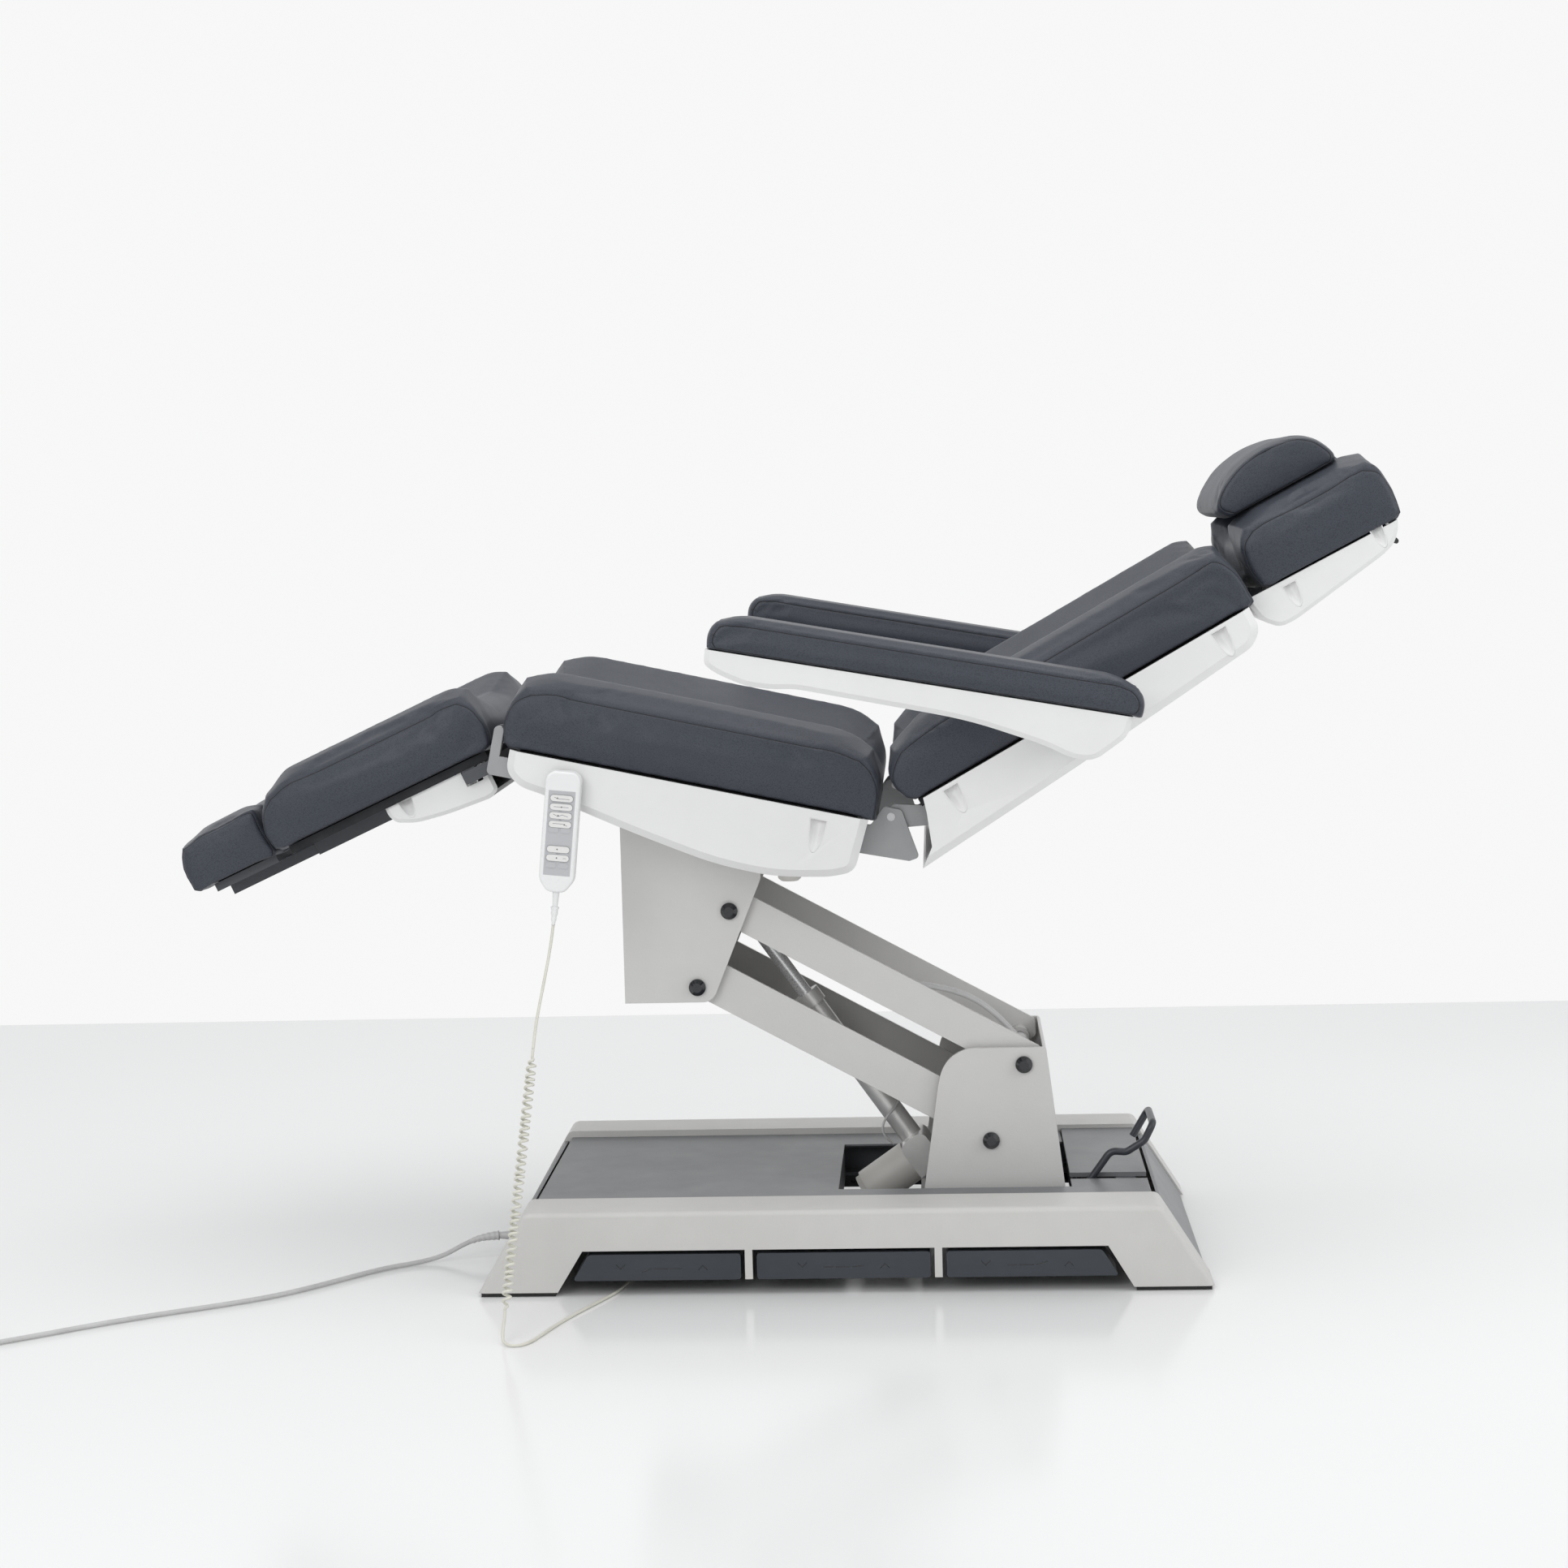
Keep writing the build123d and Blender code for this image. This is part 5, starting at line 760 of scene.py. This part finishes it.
def cushion(name, node, body, origin, slope, growth=((0, 0, 0), (0, 0, 0)), cell=WEAVE_CELL, cap=0.005,
            tuck=0.0025, soften=5, seam_at=0.009, corner=(0.045, 0.32), shoulder=(0.020, 0.3)):
    """An upholstered cushion with its seams, standing for a CAD cushion."""
    cad = in_section(places_of(frame["nodes"][node].data), origin, slope)
    middle, half = (cad[:, 1].min() + cad[:, 1].max()) / 2, np.ptp(cad[:, 1]) / 2
    corners = side_outline(cad, middle, half)
    cover = stuffed(name, node, cell, cap, tuck, soften)
    finer = cover.modifiers.new("finer", "SUBSURF")
    finer.levels = finer.render_levels = 1
    bpy.context.view_layer.update()
    mesh = baked(cover)
    bpy.data.objects.remove(cover)
    local = in_section(places_of(mesh), origin, slope)
    across, along = seam_distances(local, corners, middle, half)
    set_places(mesh, from_section(filled_out(local, cad, growth, corner, shoulder), origin, slope))
    for label, values in (("seam_across", across - seam_at), ("seam_along", along)):
        attribute = mesh.attributes.new(label, "FLOAT", "POINT")
        attribute.data.foreach_set("value", values.astype(np.float32))
    piece = finished(name, mesh, "upholstery", body)
    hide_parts(node)
    return piece


def all_cushions():
    cushion("seat_cover", "seat_cushion", "seat", KNEE, SEAT_SLOPE, ((0.008, 0, 0), (0.006, 0, 0.002)))
    cushion("back_cover", "back_cushion", "back", HIP, BACK_SLOPE, ((0.002, 0, 0), (0.008, 0, 0.002)))
    cushion("leg_cover", "leg_cushion", "leg", KNEE, LEG_SLOPE, ((0.010, 0, 0), (0, 0, 0)))
    cushion("foot_cover", "foot_cushion", "foot", KNEE, LEG_SLOPE, ((0.012, 0, 0), (0.002, 0, 0.006)),
            cell=0.005, cap=0.004, corner=(0.040, 0.45))
    cushion("head_cover", "head_cushion", "head", NECK, HEAD_SLOPE, ((0.005, 0, 0), (0.004, 0, 0.003)),
            cell=0.005, corner=(0.040, 0.40))
    cushion("pillow_cover", "pillow", "head", NECK, HEAD_SLOPE, ((0.003, 0, 0), (0.005, 0, 0.002)),
            cell=0.005, cap=0.004, seam_at=0.004, corner=(0.02, 0.1), shoulder=(0.012, 0.3))
    for side in ("near", "far"):
        cushion(f"arm_cover_{side}", f"arm_pad_{side}", f"arm_{side}", ELBOW, ARM_SLOPE, cell=0.005,
                cap=0.003, tuck=0.0015, soften=4, seam_at=0.004, corner=(0.018, 0.3), shoulder=(0.012, 0.3))


# Marks and small parts
def handset_keys():
    """Six flat membrane keys with printed rims and plain signs."""
    faces, prints = bmesh.new(), bmesh.new()
    for height, sign, dot in zip(KEY_HEIGHTS, KEY_SIGNS, KEY_DOTS):
        rim = pill(0, height, KEY_HALF, KEY_RADIUS)
        inner = pill(0, height, KEY_HALF - RIM_INSET, KEY_RADIUS - RIM_INSET)
        prism(faces, pill(0, height, KEY_HALF - FACE_INSET, KEY_RADIUS - FACE_INSET), KEY_DEPTH, FACE_LIFT)
        frame_prism(prints, rim, inner, KEY_DEPTH, PRINT_LIFT)
        for start, end in sign:
            places = ((start[0], height + start[1]), (end[0], height + end[1]))
            prism(prints, bar(*places, SIGN_STROKE), KEY_DEPTH, PRINT_LIFT)
        prism(prints, pill(dot, height, DOT_HALF, DOT_RADIUS, 4), KEY_DEPTH, DOT_LIFT)
    place = Matrix.Translation((HANDSET_TOP[0], KEYPAD_FACE, HANDSET_TOP[1])) @ Matrix.Rotation(
        math.radians(HANDSET_SLOPE), 4, "Y")
    for name, shape, look in (("key_faces", faces, "key_face"), ("key_prints", prints, "key_print")):
        bmesh.ops.transform(shape, matrix=place, verts=shape.verts[:])
        piece = from_bmesh(name, shape, "keypad", "seat", smooth=False)
        piece.data.materials.clear()
        piece.data.materials.append(FINISHES[look])


def pedal_marks():
    """Dark inlays on each pedal: an arrowhead down, three strokes for the sections, an arrowhead up."""
    for side, way in (("near", -1), ("far", 1)):
        for number, middle in enumerate(PEDAL_MIDDLES):
            shape = bmesh.new()
            face = way * PEDAL_FACE
            for place, turn in ((-CHEVRON_REACH, -1), (CHEVRON_REACH, 1)):
                stroke, x = CHEVRON_STROKE * turn, middle + place
                tip = PEDAL_MIDDLE_HEIGHT + CHEVRON_SIZE * turn / 2
                foot = PEDAL_MIDDLE_HEIGHT - CHEVRON_SIZE * turn / 2
                upper = [(x - CHEVRON_SIZE, foot), (x, tip), (x + CHEVRON_SIZE, foot)]
                arrow = upper + [(across, height - stroke) for across, height in upper[::-1]]
                prism(shape, arrow, -way * CHEVRON_DEPTH, face - way * CHEVRON_DEPTH / 2)
            for index, (start, end) in enumerate(PEDAL_STROKES):
                lift = PEDAL_LIFTS.get((number, index), (0.0, 0.0))
                height = PEDAL_MIDDLE_HEIGHT - STROKE_DROP
                places = ((middle + start, height + lift[0]), (middle + end, height + lift[1]))
                prism(shape, bar(*places, STROKE_WIDTH), -way * STROKE_DEPTH, face + way * STROKE_LIFT)
            pedal = f"{side}_{number + 1}"
            from_bmesh(f"pedal_marks_{pedal}", shape, "black_plastic", f"pedal_{pedal}", smooth=False)


def strain_relief(name, points, radii, length, slot, body, ribs=4):
    """A ribbed sleeve that thins along the start of a cord."""
    line = centre_line(points)
    lengths = np.cumsum([0.0] + [(Vector(b) - Vector(a)).length for a, b in zip(line, line[1:])])
    shares = np.linspace(0, 1, ribs * 4 + 1)
    axes = [[place[axis] for place in line] for axis in range(3)]
    places = [[float(np.interp(share * length, lengths, values)) for values in axes] for share in shares]
    sizes = [radii[0] + (radii[1] - radii[0]) * share - (0.0006 if step % 4 in (2, 3) else 0.0)
             for step, share in enumerate(shares)]
    shape = bmesh.new()
    ringed(shape, places, sizes, 20)
    return from_bmesh(name, shape, slot, body)


def strain_reliefs():
    strain_relief("handset_relief", LEAD_UPPER_ROUTE, (0.0060, 0.0028), 0.026, "handset_plastic", "seat", 3)
    strain_relief("mains_relief", MAINS_ROUTE, (0.0072, 0.0041), 0.046, "cord_plastic", "base", 6)
    strain_relief("plug_relief", MAINS_TAIL[::-1], (0.0074, 0.0041), 0.036, "cord_plastic", "base", 5)
    strain_relief("lead_relief", LEAD_LOWER_ROUTE[::-1], (0.0052, 0.0027), 0.022, "cord_plastic", "base", 3)


def lift_cables():
    """Two pale cables that lie in the upper arm's channel, and the motor's own looped lead."""
    for number, side in enumerate(CABLE_SIDES):
        points = [(x, side + shift, z + CABLE_STEP * number) for x, shift, z in CABLE_ROUTE]
        curve_piece(f"arm_cable_{number + 1}", points, CABLE_DIAMETER, "mains_sheath", "upper_arm")
    curve_piece("motor_cable", MOTOR_CABLE, MOTOR_CABLE_DIAMETER, "mains_sheath", "lift_tube")
    shape = bmesh.new()
    ringed(shape, [(BOSS_PLACE[0], side, BOSS_PLACE[1]) for side, radius in BOSS_RINGS],
           [radius for side, radius in BOSS_RINGS], 32)
    from_bmesh("cable_boss", shape, "cord_plastic", "base")


def shell_cap():
    """The round foot that shows below the seat shell's near side."""
    shape = bmesh.new()
    ringed(shape, [(*CAP_PLACE[:2], CAP_PLACE[2] + rise) for rise, radius in CAP_RINGS],
           [radius for rise, radius in CAP_RINGS], 32)
    from_bmesh("shell_foot_cap", shape, "motor_plastic", "seat")


def scooped(node, body, origin, slope, scoops, side, name):
    """The node's shell with screw pockets let into both side walls, each with its own bowl."""
    shell = finished(name, welded_copy(node), "shell_plastic", body)
    cutters, bowls = bmesh.new(), bmesh.new()
    steps = np.linspace(0, 1, 9)
    for along, rise, height, radius in scoops:
        thin = radius * (1 - POCKET_TAPER * steps)
        out = side + radius * (POCKET_OUT - POCKET_LEAN * (1 - steps) + POCKET_SLIP * steps**POCKET_CURVE)
        for way in (-1, 1):
            local = np.stack([0 * steps + along, way * out, rise + height * (0.5 - steps)], 1)
            above = local[:1] + (0, 0, POCKET_WALL)
            line = [Vector(place) for place in from_section(np.vstack([above, local]), origin, slope)]
            ringed(cutters, line[1:], thin, 28)
            ringed(bowls, line, [thin[0] + POCKET_WALL] + [size + POCKET_WALL for size in thin], 28)
    cut = in_scene("pocket_cutters", mesh_of("pocket_cutters", cutters))
    bowl = in_scene("pocket_bowls", mesh_of("pocket_bowls", bowls))
    outside = bmesh.new()
    for way in (-1, 1):
        beside = Matrix.Translation((0, way * (side - WELD * 2 + 0.5), 0.8))
        bmesh.ops.create_cube(outside, size=1.0, matrix=beside @ Matrix.Diagonal((3, 1, 3, 1)))
    outer = in_scene("outside_walls", mesh_of("outside_walls", outside))
    for piece, tools in ((shell, (bowl,)), (bowl, (cut, outer))):
        for tool in tools:
            carve = piece.modifiers.new("carve", "BOOLEAN")
            carve.operation, carve.solver, carve.object = "DIFFERENCE", "EXACT", tool
        bpy.context.view_layer.update()
        mesh = baked(piece)
        piece.modifiers.clear()
        piece.data = mesh
        if piece is shell:
            bpy.context.view_layer.update()
    pockets = finished(name + "_pockets", bowl.data, "shell_plastic", body)
    for tool in (cut, bowl, outer):
        bpy.data.objects.remove(tool)
    for piece in (shell, pockets):
        piece.data.materials.clear()
        piece.data.materials.append(FINISHES["shell_plastic"])
        smooth_by_angle(piece.data)
    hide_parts(node)


def smooth_by_angle(mesh, angle=32):
    """Smooth shading, but hard at edges that turn more than the angle."""
    shape = bmesh.new()
    shape.from_mesh(mesh)
    for edge in shape.edges:
        edge.smooth = edge.calc_face_angle(math.pi) < math.radians(angle)
    for face in shape.faces:
        face.smooth = True
    shape.to_mesh(mesh)
    shape.free()


def scooped_shells():
    for node, body, origin, slope, scoops, side in SCOOPED:
        scooped(node, body, origin, slope, scoops, side, node.replace("_shell", "_hull"))


# Cords
def spline_curve(name, points, radius=0.0):
    """A curve of one smooth open spline through its control points."""
    data = bpy.data.curves.new(name, "CURVE")
    data.dimensions = "3D"
    data.bevel_depth = radius
    data.bevel_resolution = 3
    data.resolution_u = 6
    data.use_fill_caps = True
    spline = data.splines.new("NURBS")
    spline.points.add(len(points) - 1)
    for place, point in zip(spline.points, points):
        place.co = (*point, 1.0)
    spline.order_u = 3
    spline.use_endpoint_u = True
    return data


def curve_piece(name, points, diameter, slot, body):
    data = spline_curve(name, points, diameter / 2)
    data.materials.append(FINISHES[slot])
    piece = in_scene(name, data)
    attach(piece, body)
    return piece


def centre_line(points):
    """The places along the smooth line of a cord's control points."""
    line = in_scene("centre_line", spline_curve("centre_line", points))
    bpy.context.view_layer.update()
    places = [tuple(place) for place in places_of(baked(line))]
    bpy.data.objects.remove(line)
    return places


def tube_piece(name, points, diameter, slot):
    """A cord as a mesh tube on no body, with the line that it follows."""
    line = centre_line(points)
    shape = bmesh.new()
    ringed(shape, line, [diameter / 2] * len(line), 8)
    mesh = mesh_of(name, shape)
    mesh.materials.append(FINISHES[slot])
    mesh.polygons.foreach_set("use_smooth", [True] * len(mesh.polygons))
    piece = in_scene(name, mesh)
    return piece, line


def coil_points():
    """The put-away turns: they spiral in, climb a layer and spiral out, none quite the same size."""
    start, before = Vector(MAINS_ROUTE[-1]), Vector(MAINS_ROUTE[-2])
    ahead = (start - before).normalized()
    inward = Vector((ahead.y, -ahead.x, 0))
    centre = start + inward * COIL_RADIUS
    inner = COIL_RADIUS - COIL_PITCH * COIL_TURNS
    points = []
    for step in range(1, COIL_QUARTERS * TURN_STEPS // 4 + 1):
        turns = step / TURN_STEPS
        spread = inner + COIL_PITCH * abs(COIL_TURNS - turns)
        climb = min(max((turns - COIL_TURNS) * 2 + 0.5, 0), 1)
        angle = 2 * math.pi * turns
        swung = ahead * spread * math.sin(angle) - inward * spread * math.cos(angle)
        points.append(tuple(centre + swung + Vector((0, 0, COIL_LAYER * climb))))
    return points


def mains_lead():
    """The mains lead: from its gland along the floor, into its put-away coil and its plug."""
    points = list(MAINS_ROUTE) + coil_points() + list(MAINS_TAIL)
    lead = curve_piece("mains_lead", points, MAINS_DIAMETER, "mains_sheath", "base")
    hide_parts("mains_cord", "mains_coil")


def curl_points():
    """The curly cord's turns round its axis, a little uneven, led in to the axis at both ends."""
    top, foot = Vector(CURL_AXIS[0]), Vector(CURL_AXIS[1])
    ahead = (foot - top).normalized()
    across = ahead.cross(Vector((0, 0, 1))).normalized()
    third = ahead.cross(across)
    margin = LEAD_DIAMETER * 2
    reach = (foot - top).length - 2 * margin
    points = []
    for step in range(1, CURL_COUNT * TURN_STEPS):
        turns = step / TURN_STEPS
        spread = CURL_RADIUS * max(min(1, turns / CURL_RAMP, (CURL_COUNT - turns) / CURL_RAMP), 0)
        angle = 2 * math.pi * turns
        uneven = sum(size * math.sin(turns * pace + shift) for size, pace, shift in CURL_WAVES)
        swung = across * spread * math.cos(angle) + third * spread * math.sin(angle)
        points.append(tuple(top + ahead * (margin + reach * turns / CURL_COUNT + uneven) + swung))
    return points


def handset_lead():
    """The handset's lead: a short straight run, the curls, and the run along the floor to its gland."""
    upper = curve_piece("handset_lead", LEAD_UPPER_ROUTE, LEAD_DIAMETER, "lead_sheath", "seat")
    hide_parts("handset_lead_upper")
    points = list(LEAD_LOWER_ROUTE)[::-1] + curl_points()[::-1] + [CURL_AXIS[0]]
    curls, line = tube_piece("curly_lead", points, LEAD_DIAMETER, "lead_sheath")
    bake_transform(curls)
    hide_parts("curly_cord", "handset_lead_lower")


# Studio
def stage_floor():
    """A pale polished floor that ends well behind the chair."""
    shape = bmesh.new()
    corners = [(-FLOOR_REACH, -FLOOR_REACH, 0), (FLOOR_REACH, -FLOOR_REACH, 0), (FLOOR_REACH, FLOOR_END, 0),
               (-FLOOR_REACH, FLOOR_END, 0)]
    shape.faces.new([shape.verts.new(corner) for corner in corners])
    mesh = bpy.data.meshes.new("studio_floor")
    shape.to_mesh(mesh)
    shape.free()
    floor = in_scene("studio_floor", mesh)
    floor.location.z = -FLOOR_DROP
    made, tree, shader, place = blank_material("polished_floor", Roughness=0.16, IOR=1.42)
    tone = blended(tree, noise(tree, place, 0.8, 2.0), (0.875, 0.875, 0.870), (0.905, 0.905, 0.902))
    link(tree, tone, shader.inputs["Base Color"])
    link(tree, bumped(tree, noise(tree, place, 2.2, 1.0), 0.0015), shader.inputs["Normal"])
    mesh.materials.append(made)


def studio_world():
    """A plain soft world: it lights evenly, and the camera, gloss and glass see near white."""
    world = bpy.data.worlds.new("studio")
    world.use_nodes = True
    bpy.context.scene.world = world
    tree = world.node_tree
    tree.nodes.clear()
    lights = added(tree, "ShaderNodeBackground", {"Color": (0.97, 0.985, 1.0, 1.0), "Strength": 0.70})
    seen = added(tree, "ShaderNodeBackground", {"Color": (0.935, 0.935, 0.935, 1.0), "Strength": 1.0})
    path = added(tree, "ShaderNodeLightPath").outputs
    either = maths(tree, "MAXIMUM", path["Is Camera Ray"], path["Is Glossy Ray"])
    either = maths(tree, "MAXIMUM", either, path["Is Transmission Ray"])
    mix = added(tree, "ShaderNodeMixShader", {0: either, 1: lights.outputs[0], 2: seen.outputs[0]})
    added(tree, "ShaderNodeOutputWorld", {"Surface": mix.outputs[0]})


def soft_lamp(name, place, target, size, power):
    data = bpy.data.lights.new(name, "AREA")
    data.shape = "RECTANGLE"
    data.size, data.size_y = size
    data.energy = power
    lamp = in_scene(name, data)
    lamp.location = place
    lamp.rotation_euler = (Vector(target) - Vector(place)).to_track_quat("-Z", "Y").to_euler()


def studio_lamps():
    soft_lamp("overhead_box", (0.2, -0.4, 3.4), (0.1, 0, 0.6), (3.4, 2.2), 30)
    soft_lamp("front_box", (-1.8, -4.2, 2.6), (0, 0, 0.6), (2.2, 1.6), 42)
    soft_lamp("side_box", (3.4, -1.6, 2.2), (0.2, 0, 0.6), (1.6, 2.0), 22)


def photo_camera():
    """The camera at the photograph's viewpoint, turned and rolled as it was."""
    yaw, pitch, roll = math.radians(YAW), math.radians(PITCH), math.radians(ROLL)
    level = Vector((math.cos(yaw), math.sin(yaw), 0))
    ahead = Vector((-math.sin(yaw) * math.cos(pitch), math.cos(yaw) * math.cos(pitch), -math.sin(pitch)))
    above = level.cross(ahead)
    right = level * math.cos(roll) + above * math.sin(roll)
    top = above * math.cos(roll) - level * math.sin(roll)
    turned = Matrix((right, top, -ahead)).transposed().to_4x4()
    data = bpy.data.cameras.new("photo_camera")
    data.sensor_width, data.lens = SENSOR, LENS
    data.clip_start, data.clip_end = 0.05, 60
    camera = in_scene("photo_camera", data)
    camera.matrix_world = Matrix.Translation(EYE) @ turned
    bpy.context.scene.camera = camera


finish_cad_nodes()
all_cushions()
scooped_shells()
handset_keys()
pedal_marks()
strain_reliefs()
lift_cables()
shell_cap()
mains_lead()
handset_lead()
stage_floor()
studio_world()
studio_lamps()
photo_camera()
bpy.context.scene.view_settings.view_transform = "Standard"
